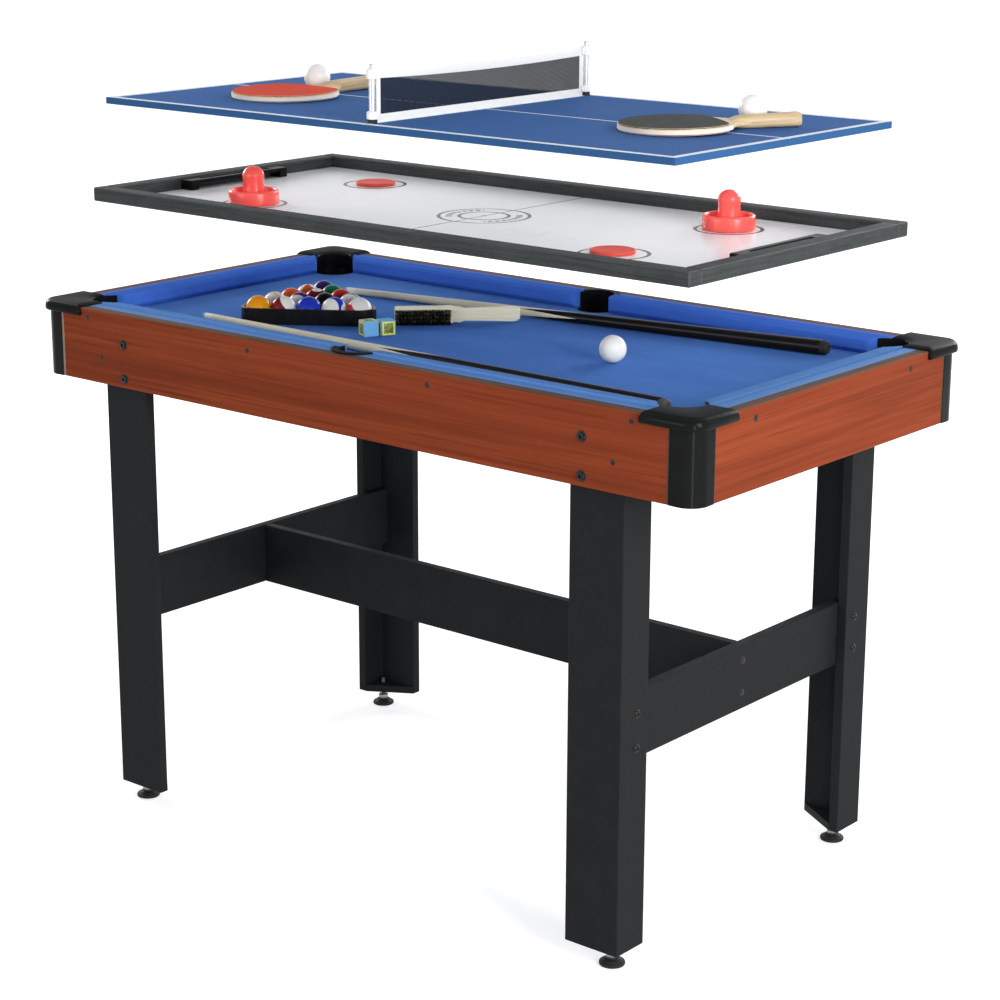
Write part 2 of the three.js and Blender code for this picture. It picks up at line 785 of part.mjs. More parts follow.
function paddle() {
  const halfBlade = bladeThickness / 2;
  const halfHandle = handleThickness / 2;
  const halfGrip = handleWidth / 2;
  const circle = arc(0, 0, 1, 0, fullAngle, bladeSteps).slice(1);
  const oval = circle.map(([a, b]) => [a * bladeRadiusX, b * bladeRadiusY]);
  const throat = [
    [throatReach, -throatWidth / 2],
    [throatReach + throatLength, -halfGrip + handleBevel],
    [throatReach + throatLength, halfGrip - handleBevel],
    [throatReach, throatWidth / 2],
  ];
  const grip = barAlongX([
    [-halfGrip + handleBevel, -halfHandle],
    [halfGrip - handleBevel, -halfHandle],
    [halfGrip, handleBevel - halfHandle],
    [halfGrip, halfHandle - handleBevel],
    [halfGrip - handleBevel, halfHandle],
    [-halfGrip + handleBevel, halfHandle],
    [-halfGrip, halfHandle - handleBevel],
    [-halfGrip, handleBevel - halfHandle],
  ], handleStart, handleEnd);
  const whole = join(plate(oval, -halfBlade, halfBlade), plate(throat, -halfBlade, halfBlade), grip);
  whole.rotateY(-Math.atan2(halfHandle - halfBlade, handleEnd + bladeRadiusX));
  whole.computeBoundingBox();
  return whole.translate(0, 0, -whole.boundingBox.min.z);
}

const redPaddleX = redPaddleInset - tennisX;
const blackPaddleX = tennisX - blackPaddleInset;
placeAt('paddle_red', paddle(), 'redRubber', redPaddleX, redPaddleY, boardSeat, redPaddleAngle);
placeAt('paddle_black', paddle(), 'blackRubber', blackPaddleX, blackPaddleY, boardSeat, blackPaddleAngle);

function ball(radius) {
  return geometryOf(solidOf(new THREE.SphereGeometry(radius, ballSteps, ballRings).rotateX(Math.PI / 2)));
}

const tennisBallZ = boardSeat + tennisBallRadius;
const leftBallX = leftTennisBallInset - tennisX;
const rightBallX = tennisX - rightTennisBallInset;
placeAt('tennis_ball_left', ball(tennisBallRadius), 'ball', leftBallX, leftTennisBallY, tennisBallZ);
placeAt('tennis_ball_right', ball(tennisBallRadius), 'ball', rightBallX, rightTennisBallY, tennisBallZ);

// Racked balls in their triangle; neighbouring balls touch
const ballSpacing = 2 * ballRadius - ballPress;
const rackSide = rackRows - 1;
const rowStep = (ballSpacing * Math.sqrt(3)) / 2;
const rackInner = ballRadius + rackClearance;
const rackOuter = rackInner + rackWall;
const rackReach = (rackSide * ballSpacing) / 2;
const rackCos = Math.cos(THREE.MathUtils.degToRad(rackAngle));
const rackSin = Math.sin(THREE.MathUtils.degToRad(rackAngle));
const rackDepth = rackReach * rackSin + rackSide * rowStep * rackCos + 2 * rackOuter;
const spareWidth = 2 * sideNose - rackDepth - 4 * cueTipRadius;
const frontCueTipY = frontCueShare * spareWidth + cueTipRadius - sideNose;
const backCueTipY = sideNose - cueTipRadius - backCueShare * spareWidth;
const rackFront = frontCueTipY + cueTipRadius + rackShare * spareWidth;
const rackX = rackEndInset - endNose; // middle of the front row of balls
const rackY = rackFront + rackOuter + rackReach * rackSin;
const rackRight = rackX + rackReach * rackCos + rackOuter;
const racked = [];
for (let row = 0; row < rackRows; row += 1) {
  for (let i = 0; i < rackRows - row; i += 1) {
    const one = new THREE.SphereGeometry(ballRadius, rackedBallSteps, rackedBallRings).rotateX(Math.PI / 2);
    racked.push(one.translate((i - (rackSide - row) / 2) * ballSpacing, row * rowStep, ballRadius));
  }
}
placeAt('racked_balls', join(...racked), 'racked', rackX, rackY, bedSeat, rackAngle);

function rackOutline(offset) {
  const corners = [[-rackReach, 0], [rackReach, 0], [0, rackSide * rowStep]];
  return corners.flatMap(([x, y], i) => {
    const from = (fullAngle * (2 * i + 1)) / 6 + rightAngle;
    return arc(x, y, offset, from, from + fullAngle / 3, cornerSteps);
  });
}

const rackOuterPlate = plate(rackOutline(rackOuter), 0, rackHeight);
const rackInnerPlate = plate(rackOutline(rackInner), -rackHeight, 2 * rackHeight);
placeAt('rack_triangle', cut(rackOuterPlate, rackInnerPlate), 'black', rackX, rackY, bedSeat, rackAngle);
const cueBallX = rackRight + cueBallReach;
const cueBallY = rackY + cueBallRise;
placeAt('cue_ball', ball(ballRadius), 'ball', cueBallX, cueBallY, bedSeat + ballRadius);

// Cues: straight tapers whose underside lies along the cloth
function placeCue(name, tipX, tipY, endX, endY) {
  const tip = new THREE.Vector3(tipX, tipY, bedSeat + cueTipRadius);
  const end = new THREE.Vector3(endX, endY, bedSeat + cueButtRadius);
  const length = tip.distanceTo(end);
  const profile = [
    [0, 0],
    [cueTipRadius, 0],
    [cueButtRadius, length - cueBumperLength],
    [cueBumperRadius, length],
    [0, length],
  ];
  const mesh = place(name, turned(profile, smallSteps), 'cue');
  mesh.position.copy(tip);
  mesh.quaternion.setFromUnitVectors(unitZ, end.clone().sub(tip).normalize());
}

const backCueEndY = sideNose - backCueEndShare * spareWidth;
const frontCueEndY = frontCueEndShare * spareWidth - sideNose;
placeCue('cue_back', backCueTipInset - endNose, backCueTipY, endNose - backCueEndInset, backCueEndY);
placeCue('cue_front', frontCueTipInset - endNose, frontCueTipY, endNose - frontCueEndInset, frontCueEndY);

// Table brush, standing on its long edge with the bristles pointing forward
const brushX = rackRight + brushRackGap;
const brushY = rackY + brushShare * spareWidth;
const handleLow = (brushHeight - brushHandleHeight) / 2;
const brushShape = shapeOf([
  [0, 0],
  [brushHeadLength, 0],
  [brushHeadLength + brushRound, handleLow],
  [brushLength - brushRound, handleLow],
  [brushLength, handleLow + brushRound],
  [brushLength, brushHeight - handleLow - brushRound],
  [brushLength - brushRound, brushHeight - handleLow],
  [brushHeadLength + brushRound, brushHeight - handleLow],
  [brushHeadLength, brushHeight],
  [0, brushHeight],
]);
const brushBody = new THREE.ExtrudeGeometry(brushShape, { depth: brushThickness, bevelEnabled: false });
turnBasis(brushBody, unitX, unitZ, unitY.clone().negate()).translate(0, brushThickness, 0);
placeAt('brush_handle', brushBody, 'brush', brushX, brushY, bedSeat, brushAngle);

const backing = block(
  bristleMargin,
  brushHeadLength - bristleMargin,
  -seatGap - bristleBacking,
  -seatGap,
  bristleMargin,
  brushHeight - bristleMargin,
);
const strandReach = seatGap + bristleBacking + bristleLength;
const strands = [];
const plotX = (brushHeadLength - 2 * bristleMargin) / bristleColumns;
const plotZ = (brushHeight - 2 * bristleMargin) / bristleRows;
for (let column = 0; column < bristleColumns; column += 1) {
  for (let row = 0; row < bristleRows; row += 1) {
    const x = bristleMargin + (column + 1 / 2) * plotX;
    const z = bristleMargin + (row + 1 / 2) * plotZ;
    const outline = arc(x, z, bristleRadius, 0, fullAngle, strandSides).slice(1);
    strands.push(barAlongY(outline, -strandReach, -seatGap - bristleBacking / 2));
  }
}
placeAt('brush_bristles', join(backing, ...strands), 'bristle', brushX, brushY, bedSeat, brushAngle);

// Chalk cubes with a worn hollow on top; the front one lies on its side with the hollow facing forward
function chalk() {
  const half = chalkSide / 2 - chalkEdge;
  const square = shapeOf([[-half, -half], [half, -half], [half, half], [-half, half]]);
  const cube = new THREE.ExtrudeGeometry(square, {
    depth: chalkSide - 2 * chalkEdge,
    bevelEnabled: true,
    bevelThickness: chalkEdge,
    bevelSize: chalkEdge,
    bevelSegments: 1,
  }).translate(0, 0, chalkEdge);
  const hollow = turned([
    [0, chalkSide - chalkDimpleDepth],
    [chalkDimpleRadius / 2, chalkSide - chalkDimpleDepth],
    [chalkDimpleRadius, chalkSide],
    [chalkDimpleRadius, chalkSide + chalkDimpleDepth],
    [0, chalkSide + chalkDimpleDepth],
  ], smallSteps);
  return cut(cube, hollow);
}

function lyingChalk() {
  const half = chalkSide / 2;
  return chalk().translate(0, 0, -half).rotateX(Math.PI / 2).translate(0, 0, half);
}

const frontChalkX = rackRight + frontChalkReach;
const frontChalkY = rackY - frontChalkDrop;
const backChalkX = rackRight + backChalkReach;
const backChalkY = rackY + backChalkRise;
placeAt('chalk_front', lyingChalk(), 'chalk', frontChalkX, frontChalkY, bedSeat, chalkAngle);
placeAt('chalk_back', chalk(), 'chalk', backChalkX, backChalkY, bedSeat, chalkAngle);

export default group;
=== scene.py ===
import math
import random

import bmesh
import bpy
from mathutils import Matrix, Vector


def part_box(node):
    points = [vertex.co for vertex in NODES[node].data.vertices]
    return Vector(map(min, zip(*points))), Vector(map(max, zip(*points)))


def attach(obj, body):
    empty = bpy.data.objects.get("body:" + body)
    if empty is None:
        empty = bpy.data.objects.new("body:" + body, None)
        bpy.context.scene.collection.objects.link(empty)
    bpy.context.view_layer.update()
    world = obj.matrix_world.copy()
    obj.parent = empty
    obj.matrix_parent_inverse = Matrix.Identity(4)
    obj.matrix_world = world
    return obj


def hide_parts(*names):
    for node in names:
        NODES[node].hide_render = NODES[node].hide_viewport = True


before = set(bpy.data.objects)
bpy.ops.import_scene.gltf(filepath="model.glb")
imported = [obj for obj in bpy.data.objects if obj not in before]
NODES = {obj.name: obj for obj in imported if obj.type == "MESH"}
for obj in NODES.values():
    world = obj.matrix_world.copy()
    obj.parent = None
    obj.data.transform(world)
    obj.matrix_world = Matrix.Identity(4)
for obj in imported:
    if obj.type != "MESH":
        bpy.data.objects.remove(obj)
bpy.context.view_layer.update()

MM = 0.001
ENDS = (("left", -1), ("right", 1))
SIDES = (("front", -1), ("back", 1))
random.seed(7)


# Materials ------------------------------------------------------------------
# A colour of three numbers is an 8-bit screen colour, and one of four numbers is linear.

def linear(color):
    """The four linear values that a shader takes."""
    if len(color) == 4:
        return color
    parts = [c / 255 for c in color]
    return tuple(c / 12.92 if c <= 0.04045 else ((c + 0.055) / 1.055) ** 2.4 for c in parts) + (1.0,)


def shade(tone, factor, plus=0):
    """A screen colour made darker or lighter."""
    return tuple(min(255, int(c * factor) + plus) for c in tone)


class Nodes:
    """Short calls for the shader nodes of one tree, in the object's own coordinates."""

    def __init__(self, tree):
        self.tree = tree
        self._coords = None

    def put(self, socket, value):
        if isinstance(value, bpy.types.NodeSocket):
            self.tree.links.new(value, socket)
        else:
            socket.default_value = linear(value) if socket.type == "RGBA" else value

    def node(self, kind, inputs=(), **props):
        """A new node with its settings, and with its inputs given by name or number."""
        n = self.tree.nodes.new("ShaderNode" + kind)
        for key, value in props.items():
            setattr(n, key, value)
        for key, value in dict(inputs).items():
            self.put(n.inputs[key], value)
        return n

    def coords(self):
        if self._coords is None:
            self._coords = self.node("TexCoord").outputs["Object"]
        return self._coords

    def mapped(self, scale, turn):
        values = {"Vector": self.coords(), "Scale": scale, "Rotation": (0, 0, turn)}
        return self.node("Mapping", values).outputs["Vector"]

    def noise(self, scale, detail=2.0, rough=0.5, distort=0.0, turn=0.0):
        """Noise of one scale, or of three that stretch it along the axes."""
        place = self.coords()
        if isinstance(scale, tuple):
            place, scale = self.mapped(scale, turn), 1.0
        return self.node("TexNoise", {
            "Vector": place, "Scale": scale, "Detail": detail, "Roughness": rough, "Distortion": distort,
        }).outputs["Fac"]

    def cells(self, scale):
        return self.node("TexVoronoi", {"Vector": self.coords(), "Scale": scale}).outputs["Distance"]

    def wave(self, scale, distort, detail, axis, turn=0.0):
        return self.node("TexWave", {
            "Vector": self.mapped((1, 1, 1), turn), "Scale": scale, "Distortion": distort, "Detail": detail,
        }, bands_direction=axis).outputs["Fac"]

    def math(self, op, *values):
        return self.node("Math", enumerate(values), operation=op).outputs[0]

    def length(self, a, b):
        squares = [self.math("MULTIPLY", v, v) for v in (a, b)]
        return self.math("SQRT", self.math("ADD", *squares))

    def split(self, vector=None):
        return list(self.node("SeparateXYZ", {0: vector or self.coords()}).outputs)

    def normal(self):
        return self.split(self.node("NewGeometry").outputs["Normal"])

    def edge(self):
        """1 on the rounded edges of a piece whose faces stand square to the axes."""
        x, y, z = (self.math("ABSOLUTE", part) for part in self.normal())
        return self.below(self.math("MAXIMUM", self.math("MAXIMUM", x, y), z), 0.93, 0.995)

    def seen_directly(self):
        """1 for rays from the camera, off gloss and through glass."""
        path = self.node("LightPath").outputs
        seen = self.math("MAXIMUM", path["Is Camera Ray"], path["Is Glossy Ray"])
        return self.math("MAXIMUM", seen, path["Is Transmission Ray"])

    def step(self, value, low, high, out_low=0.0, out_high=1.0):
        """A smooth change from out_low to out_high where value goes from low to high."""
        return self.node("MapRange", {
            "Value": value, "From Min": low, "From Max": high, "To Min": out_low, "To Max": out_high,
        }, interpolation_type="SMOOTHSTEP").outputs["Result"]

    def below(self, value, low, high):
        return self.step(value, low, high, 1.0, 0.0)

    def band(self, value, middle, half, soft=0.0003):
        """1 where value is within half of middle, fading over soft."""
        off = self.math("ABSOLUTE", self.math("SUBTRACT", value, middle))
        return self.below(off, half, half + soft)

    def ramp(self, fac, *stops):
        n = self.node("ValToRGB", {"Fac": fac})
        line = n.color_ramp.elements
        while len(line) < len(stops):
            line.new(1.0)
        for element, (place, color) in zip(line, stops):
            element.position = place
            element.color = linear(color)
        return n.outputs["Color"]

    def mix(self, fac, a, b):
        """From colour a to colour b. Sockets 6, 7 and output 2 are the node's colour ones."""
        return self.node("Mix", {0: fac, 6: a, 7: b}, data_type="RGBA").outputs[2]

    def bump(self, height, strength, distance):
        values = {"Strength": strength, "Distance": distance, "Height": height}
        return self.node("Bump", values).outputs["Normal"]


class Shader(Nodes):
    """A material with its Principled shader, whose sockets are named with _ for a space."""

    def __init__(self, name, tone, rough=0.5, metal=0.0, **sockets):
        self.mat = bpy.data.materials.new(name)
        self.mat.use_nodes = True
        self.mat.diffuse_color = linear(tone)
        super().__init__(self.mat.node_tree)
        self.bsdf = self.tree.nodes["Principled BSDF"]
        self.set(Base_Color=tone, Roughness=rough, Metallic=metal, **sockets)

    def set(self, **sockets):
        for key, value in sockets.items():
            self.put(self.bsdf.inputs[key.replace("_", " ")], value)


def apron_laminate(name, along, reach):
    """Printed cherry grain on the sides, a narrow brown rail on top, then the cushion's cloth.

    The grain runs along axis 0 or 1, and the outer edge lies at reach from the table's middle.
    """
    def stretched(length, width):
        return (width, length, width) if along else (length, width, width)

    s = Shader(name, (140, 68, 44), 0.5, Specular_IOR_Level=0.03)
    band = s.noise(stretched(1.5, 64.0), 5.0, 0.66, 0.2)
    streak = s.noise(stretched(4.0, 330.0), 3.0, 0.6, 0.2)
    broad = s.noise(stretched(0.33, 14.08), 2.0, 0.5, 0.8)
    brown = s.noise(stretched(3.0, 90.0), 4.0, 0.6, 0.4)
    nap = s.noise(1100.0, 3.0, 0.75)
    side = s.ramp(
        band, (0.28, (106, 47, 27)), (0.44, (121, 54, 31)), (0.56, (135, 62, 36)), (0.74, (149, 71, 42)))
    side = s.mix(s.step(broad, 0.3, 0.7, 0.0, 0.5), side, (138, 62, 38))
    side = s.mix(s.step(streak, 0.52, 0.7, 0.0, 0.55), side, (98, 42, 25))
    rail = s.ramp(brown, (0.3, (76, 58, 46)), (0.5, (94, 72, 58)), (0.72, (112, 88, 71)))
    # the cloth is painted paler at the front and at the right end, a painted sheen like the one on the
    # cushions there
    place = s.split()[1 - along]
    sheen_side = (s.step if along else s.below)(place, -0.01, 0.01)
    deep = s.mix(nap, (56, 98, 190), (68, 112, 204))
    cover = s.mix(sheen_side, deep, s.mix(nap, (90, 134, 195), (102, 146, 207)))
    inward = s.math("SUBTRACT", reach, s.math("ABSOLUTE", place))
    top = s.mix(s.step(inward, 0.0185, 0.0192), rail, cover)
    s.set(Base_Color=s.mix(s.step(s.normal()[2], 0.6, 0.8), side, top),
          Roughness=s.step(streak, 0.2, 0.8, 0.44, 0.56),
          Normal=s.bump(s.math("ADD", streak, s.math("MULTIPLY", band, 0.5)), 0.12, 0.0006))
    return s


def black_board(name, tone=1.0):
    """Black textured laminate on legs, stretchers and frame rails, tone times as bright."""
    s = Shader(name, (34, 35, 36), 0.55, Specular_IOR_Level=0.04)
    fine = s.noise(900.0, 3.0, 0.7)
    cloud = s.noise(26.0, 4.0, 0.6)
    dark, light = (tuple(c * tone for c in linear(v)[:3]) + (1,)
                   for v in ((21, 22, 22), (40, 42, 43)))
    color = s.ramp(fine, (0.3, dark), (0.72, light))
    s.color = s.mix(s.step(cloud, 0.35, 0.75, 0.0, 0.35), color, light)
    s.set(Base_Color=s.color,
          Roughness=s.step(cloud, 0.2, 0.8, 0.42, 0.56),
          Normal=s.bump(s.math("ADD", fine, s.cells(1300.0)), 0.28, 0.0004))
    return s


def moulded(name, rough, tone, shine=0.15):
    """Moulded plastic or rubber with a fine spark texture."""
    s = Shader(name, tone, rough, Specular_IOR_Level=shine)
    cloud = s.noise(40.0, 3.0, 0.6)
    s.set(Base_Color=s.mix(cloud, tone, shade(tone, 1, 9)),
          Roughness=s.step(cloud, 0.25, 0.8, rough - 0.05, rough + 0.08),
          Normal=s.bump(s.noise(1500.0, 2.0, 0.6), 0.12, 0.0002))
    return s


def metal_paint(name, tone, rough, metal=1.0):
    """Scuffed metal, or paint on it."""
    s = Shader(name, tone, rough, metal)
    scuff = s.noise(300.0, 4.0, 0.6)
    s.set(Base_Color=s.mix(scuff, shade(tone, 0.8), tone),
          Roughness=s.step(scuff, 0.3, 0.7, rough - 0.08, rough + 0.12),
          Normal=s.bump(scuff, 0.1, 0.0003))
    return s


def flecked(name, tone, rough, noise, low, high, bump=None, **sockets):
    """A plain surface that noise carries from low to high, and roughens where bump is given."""
    s = Shader(name, tone, rough, **sockets)
    fleck = s.noise(*noise)
    s.set(Base_Color=s.mix(fleck, low, high))
    if bump:
        s.set(Normal=s.bump(fleck, *bump))
    return s


def cloth(name, low, high, top=None):
    """Short-napped woven cloth. top is the tone of a painted sheen where it faces up; +X faces get a darker
    copy of it and -Y faces a lighter one.
    """
    s = Shader(name, high, 0.92, Specular_IOR_Level=0.01)
    weaves = [s.wave(520.0, 1.2, 2.0, axis, math.radians(a)) for axis, a in (("X", 3), ("Y", -2))]
    nap = s.noise(1100.0, 3.0, 0.75)
    brushed = s.noise((6.0, 16.0, 16.0), 4.0, 0.6, 0.5)
    fibre = s.noise((160.0, 900.0, 900.0), 2.0, 0.7, 1.0, 0.5)
    color = s.ramp(brushed, (0.25, low), (0.75, high))
    color = s.mix(s.step(nap, 0.35, 0.7, 0.0, 0.3), color, shade(high, 1, 26))
    color = s.mix(s.step(fibre, 0.6, 0.75, 0.0, 0.25), color, shade(low, 0.75))
    # painted sheen and shade: up-facing faces take the paler top tone, +X faces a darker copy and -Y faces
    # a lighter copy, for how the light falls on them
    if top:
        painted_sheen = s.ramp(brushed, (0.25, top), (0.75, shade(top, 1, 12)))
        nx, ny, nz = s.normal()
        color = s.mix(s.step(nz, 0.1, 0.7), color, painted_sheen)
        color = s.mix(s.step(nx, 0.5, 0.9), color, shade(top, 0.84))
        color = s.mix(s.below(ny, -0.9, -0.5), color, shade(top, 1.12))
    height = s.math("ADD", s.math("MULTIPLY", s.math("ADD", *weaves), 0.25), nap)
    s.set(Base_Color=color, Normal=s.bump(height, 0.35, 0.0006))
    return s


# Mesh helpers ---------------------------------------------------------------

def turned(degrees, axis):
    return Matrix.Rotation(math.radians(degrees), 4, axis)


def centre(node):
    """The middle of a CAD node's box, in millimetres."""
    lo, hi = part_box(node)
    return [(a + b) / 2 / MM for a, b in zip(lo, hi)]


def finish_mesh(name, bm, materials, body, smooth=40, at=(0, 0, 0), turn=Matrix(), stands_for=()):
    """Makes an object of bm, which is drawn in millimetres, and lets it ride on body.

    Edges of more than smooth degrees stay sharp, and with 0 all faces stay flat.
    """
    mesh = bpy.data.meshes.new(name)
    bm.normal_update()
    bmesh.ops.recalc_face_normals(bm, faces=bm.faces)
    bmesh.ops.scale(bm, vec=(MM, MM, MM), verts=bm.verts)
    bm.to_mesh(mesh)
    bm.free()
    for s in materials:
        mesh.materials.append(s.mat)
    obj = bpy.data.objects.new(name, mesh)
    bpy.context.collection.objects.link(obj)
    if smooth:
        mesh.shade_smooth()
        mesh.set_sharp_from_angle(angle=math.radians(smooth))
    obj.matrix_world = Matrix.Translation(Vector(at) * MM) @ turn
    if body:
        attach(obj, body)
    if stands_for:
        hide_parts(*stands_for)
    return obj


def dress(material, *names, width=0.0012, segments=2, angle=32):
    """Colours CAD nodes as they are shown, and rounds edges of more than angle degrees by width."""
    for name in names:
        obj = NODES[name]
        mesh = obj.data
        for key in ("custom_normal", "sharp_face", "sharp_edge"):
            if key in mesh.attributes:
                mesh.attributes.remove(mesh.attributes[key])
        weld = obj.modifiers.new("weld", "WELD")
        weld.merge_threshold = 0.00002
        flat = obj.modifiers.new("flat", "DECIMATE")
        flat.decimate_type = "DISSOLVE"
        flat.angle_limit = math.radians(1)
        bevel = obj.modifiers.new("edges", "BEVEL")
        bevel.width = width
        bevel.segments = segments
        bevel.limit_method = "ANGLE"
        bevel.angle_limit = math.radians(angle)
        bevel.miter_outer = "MITER_ARC"
        bevel.use_clamp_overlap = True
        weight = obj.modifiers.new("shade", "WEIGHTED_NORMAL")
        weight.keep_sharp = False
        weight.weight = 90
        obj.material_slots[0].material = material.mat


def named(start):
    return [n for n in NODES if n.startswith(start)]


def round_edges(bm, edges, radius, segments):
    bmesh.ops.bevel(bm, geom=edges, offset=radius, segments=segments, profile=0.5, affect="EDGES",
                    clamp_overlap=True)


def box_into(bm, lo, hi, material=0):
    made = bmesh.ops.create_cube(bm, size=1.0)["verts"]
    for v in made:
        v.co = [a + (c + 0.5) * (b - a) for a, b, c in zip(lo, hi, v.co)]
    for f in {f for v in made for f in v.link_faces}:
        f.material_index = material
    return made


def rounded_box(bm, lo, hi, radius, segments=2, material=0):
    made = box_into(bm, lo, hi, material)
    round_edges(bm, list({e for v in made for e in v.link_edges}), radius, segments)


def arc(cx, cy, r, start, end, steps):
    """Points round (cx, cy) from start to end, in degrees."""
    angles = [math.radians(start + (end - start) * i / steps) for i in range(steps + 1)]
    return [(cx + r * math.cos(a), cy + r * math.sin(a)) for a in angles]


def polygon(r, corners):
    return arc(0, 0, r, 0, 360, corners)[:-1]


def lathe_into(bm, profile, steps, at=(0, 0, 0), material=0):
    """Turns (radius, height) points round the Z axis. A radius of zero closes an end in a point."""
    rings = []
    for r, z in profile:
        rings.append([bm.verts.new((x, y, z)) for x, y in (polygon(r, steps) if r else [(0, 0)])])
    for a, b in zip(rings, rings[1:]):
        for i in range(steps):
            j = (i + 1) % steps
            corners = list(dict.fromkeys((a[i % len(a)], a[j % len(a)], b[j % len(b)], b[i % len(b)])))
            if len(corners) >= 3:
                bm.faces.new(corners).material_index = material
    bmesh.ops.translate(bm, vec=at, verts=[v for ring in rings for v in ring])


def skin(bm, rings, material=0, closed=False):
    """Walls between rings of points, and a face on both ends or walls back to the first ring."""
    rings = [[bm.verts.new(p) for p in ring] for ring in rings]
    n = len(rings[0])
    faces = [] if closed else [bm.faces.new(rings[0][::-1]), bm.faces.new(rings[-1])]
    for a, b in zip(rings, rings[1:] + rings[:1] if closed else rings[1:]):
        faces += [bm.faces.new((a[i], a[(i + 1) % n], b[(i + 1) % n], b[i])) for i in range(n)]
    for f in faces:
        f.material_index = material
    return faces


def level(outline, z):
    return [(x, y, z) for x, y in outline]


def prism_into(bm, outline, z0, z1, material=0, edge=0.0, segments=2):
    """A closed outline of (x, y) points between two heights, with its rims rounded by edge."""
    ends = skin(bm, [level(outline, z0), level(outline, z1)], material)[:2]
    if edge:
        round_edges(bm, [e for f in ends for e in f.edges], edge, segments)


# Camera and light -----------------------------------------------------------

CAMERA_AT = (2.2771, -2.7042, 1.4915)
CAMERA_TURN = (39.7, 15.5, 0.2)
FOCAL_WIDTHS, SENSOR = 2.4433, 36


def place_camera():
    """CAMERA_TURN is the turn round the table, the look downward and the roll, in degrees."""
    a, e, r = (math.radians(v) for v in CAMERA_TURN)
    forward = Vector((-math.sin(a) * math.cos(e), math.cos(a) * math.cos(e), -math.sin(e)))
    right = Vector((math.cos(a), math.sin(a), 0))
    up = right.cross(forward)
    right, up = right * math.cos(r) + up * math.sin(r), up * math.cos(r) - right * math.sin(r)
    data = bpy.data.cameras.new("camera")
    data.sensor_width = SENSOR
    data.sensor_fit = "HORIZONTAL"
    data.lens = FOCAL_WIDTHS * SENSOR
    data.clip_start, data.clip_end = 0.1, 150
    camera = bpy.data.objects.new("camera", data)
    bpy.context.collection.objects.link(camera)
    turn = Matrix((right, up, -forward)).transposed().to_4x4()
    camera.matrix_world = Matrix.Translation(CAMERA_AT) @ turn
    bpy.context.scene.camera = camera


def area_light(name, place, target, size, watts):
    data = bpy.data.lights.new(name, "AREA")
    data.shape = "RECTANGLE"
    data.size, data.size_y = size
    data.energy = watts
    lamp = bpy.data.objects.new(name, data)
    bpy.context.collection.objects.link(lamp)
    lamp.location = place
    lamp.rotation_euler = (Vector(target) - Vector(place)).to_track_quat("-Z", "Y").to_euler()
    return lamp


place_camera()
area_light("key", (4.1, -1.3, 2.2), (0, 0, 0.8), (1.4, 2.0), 140)
area_light("key_low", (4.4, -1.2, 1.15), (0, 0, 0.8), (1.6, 0.7), 38)
area_light("fill", (-1.4, -4.3, 1.5), (0, 0, 0.7), (2.8, 1.3), 46)
area_light("left", (-4.1, 0.4, 2.1), (0, 0, 0.8), (1.8, 1.4), 100)
area_light("back", (0.4, 4.3, 2.3), (0, 0, 0.8), (3.2, 1.4), 130)
area_light("top", (-0.4, 0.2, 4.2), (0, 0, 0.8), (3.0, 2.6), 8)
# a slim upright strip gives the black columns their long highlight
area_light("strip", (1.9, -1.5, 0.62), (0.6, -0.3, 0.62), (0.14, 1.1), 8).visible_camera = False

world = bpy.data.worlds.new("studio")
bpy.context.scene.world = world
world.use_nodes = True
sky = Nodes(world.node_tree)
background = sky.tree.nodes["Background"].inputs
sky.put(background["Color"], (0.97, 0.98, 1.0, 1))
sky.put(background["Strength"], sky.step(sky.seen_directly(), 0.0, 1.0, 0.3, 1.0))
bpy.context.scene.view_settings.view_transform = "Standard"


def make_floor():
    """A pale floor that is seen lighter the farther it lies from the table."""
    bm = bmesh.new()
    bmesh.ops.create_grid(bm, x_segments=8, y_segments=8, size=70000)
    s = flecked("floor", (0.62, 0.62, 0.62, 1), 0.85, (1.5, 3.0), (0.61, 0.61, 0.61, 1),
                (0.63, 0.63, 0.63, 1), Specular_IOR_Level=0.1)
    away = s.length(*s.split()[:2])
    strength = s.math("MULTIPLY", s.seen_directly(), s.step(away, 0.9, 4.5, 0.56, 1.0))
    glow = s.node("Emission", {"Color": (1, 1, 1, 1), "Strength": strength})
    both = s.node("AddShader", {0: s.bsdf.outputs[0], 1: glow.outputs[0]})
    s.put(s.tree.nodes["Material Output"].inputs["Surface"], both.outputs[0])
    finish_mesh("floor", bm, [s], None, 0, (0, 0, -0.5))


make_floor()


# Pool table -----------------------------------------------------------------

HALF_L, HALF_W = 609.5, 320.0
APRON_BOTTOM, BED_TOP, SKIRT_LOW, LIP_LOW, CAP_TOP = 674.0, 762.0, 773.3, 785.3, 790.0

wood_x = apron_laminate("wood_along_x", 0, HALF_W * MM)
wood_y = apron_laminate("wood_along_y", 1, HALF_L * MM)
plastic = moulded("corner_plastic", 0.16, (15, 16, 16), 0.05)
plastic.set(Roughness=plastic.step(plastic.normal()[2], 0.6, 0.95, 0.16, 0.55))
leg_black = black_board("leg_black")
# the bed's cloth is written paler than the cushions', partly as painted light against the shade that the
# boards above cast on the bed
bed_cloth = cloth("bed_cloth", (74, 116, 187), (86, 130, 198))
cushion_cloth = cloth("cushion_cloth", (56, 98, 190), (66, 110, 202))
# the front cushions and the right end's cushion carry a painted sheen on their tops and sides
painted_sheen_cloth = cloth("painted_sheen_cloth", (56, 98, 190), (66, 110, 202), (92, 136, 196))

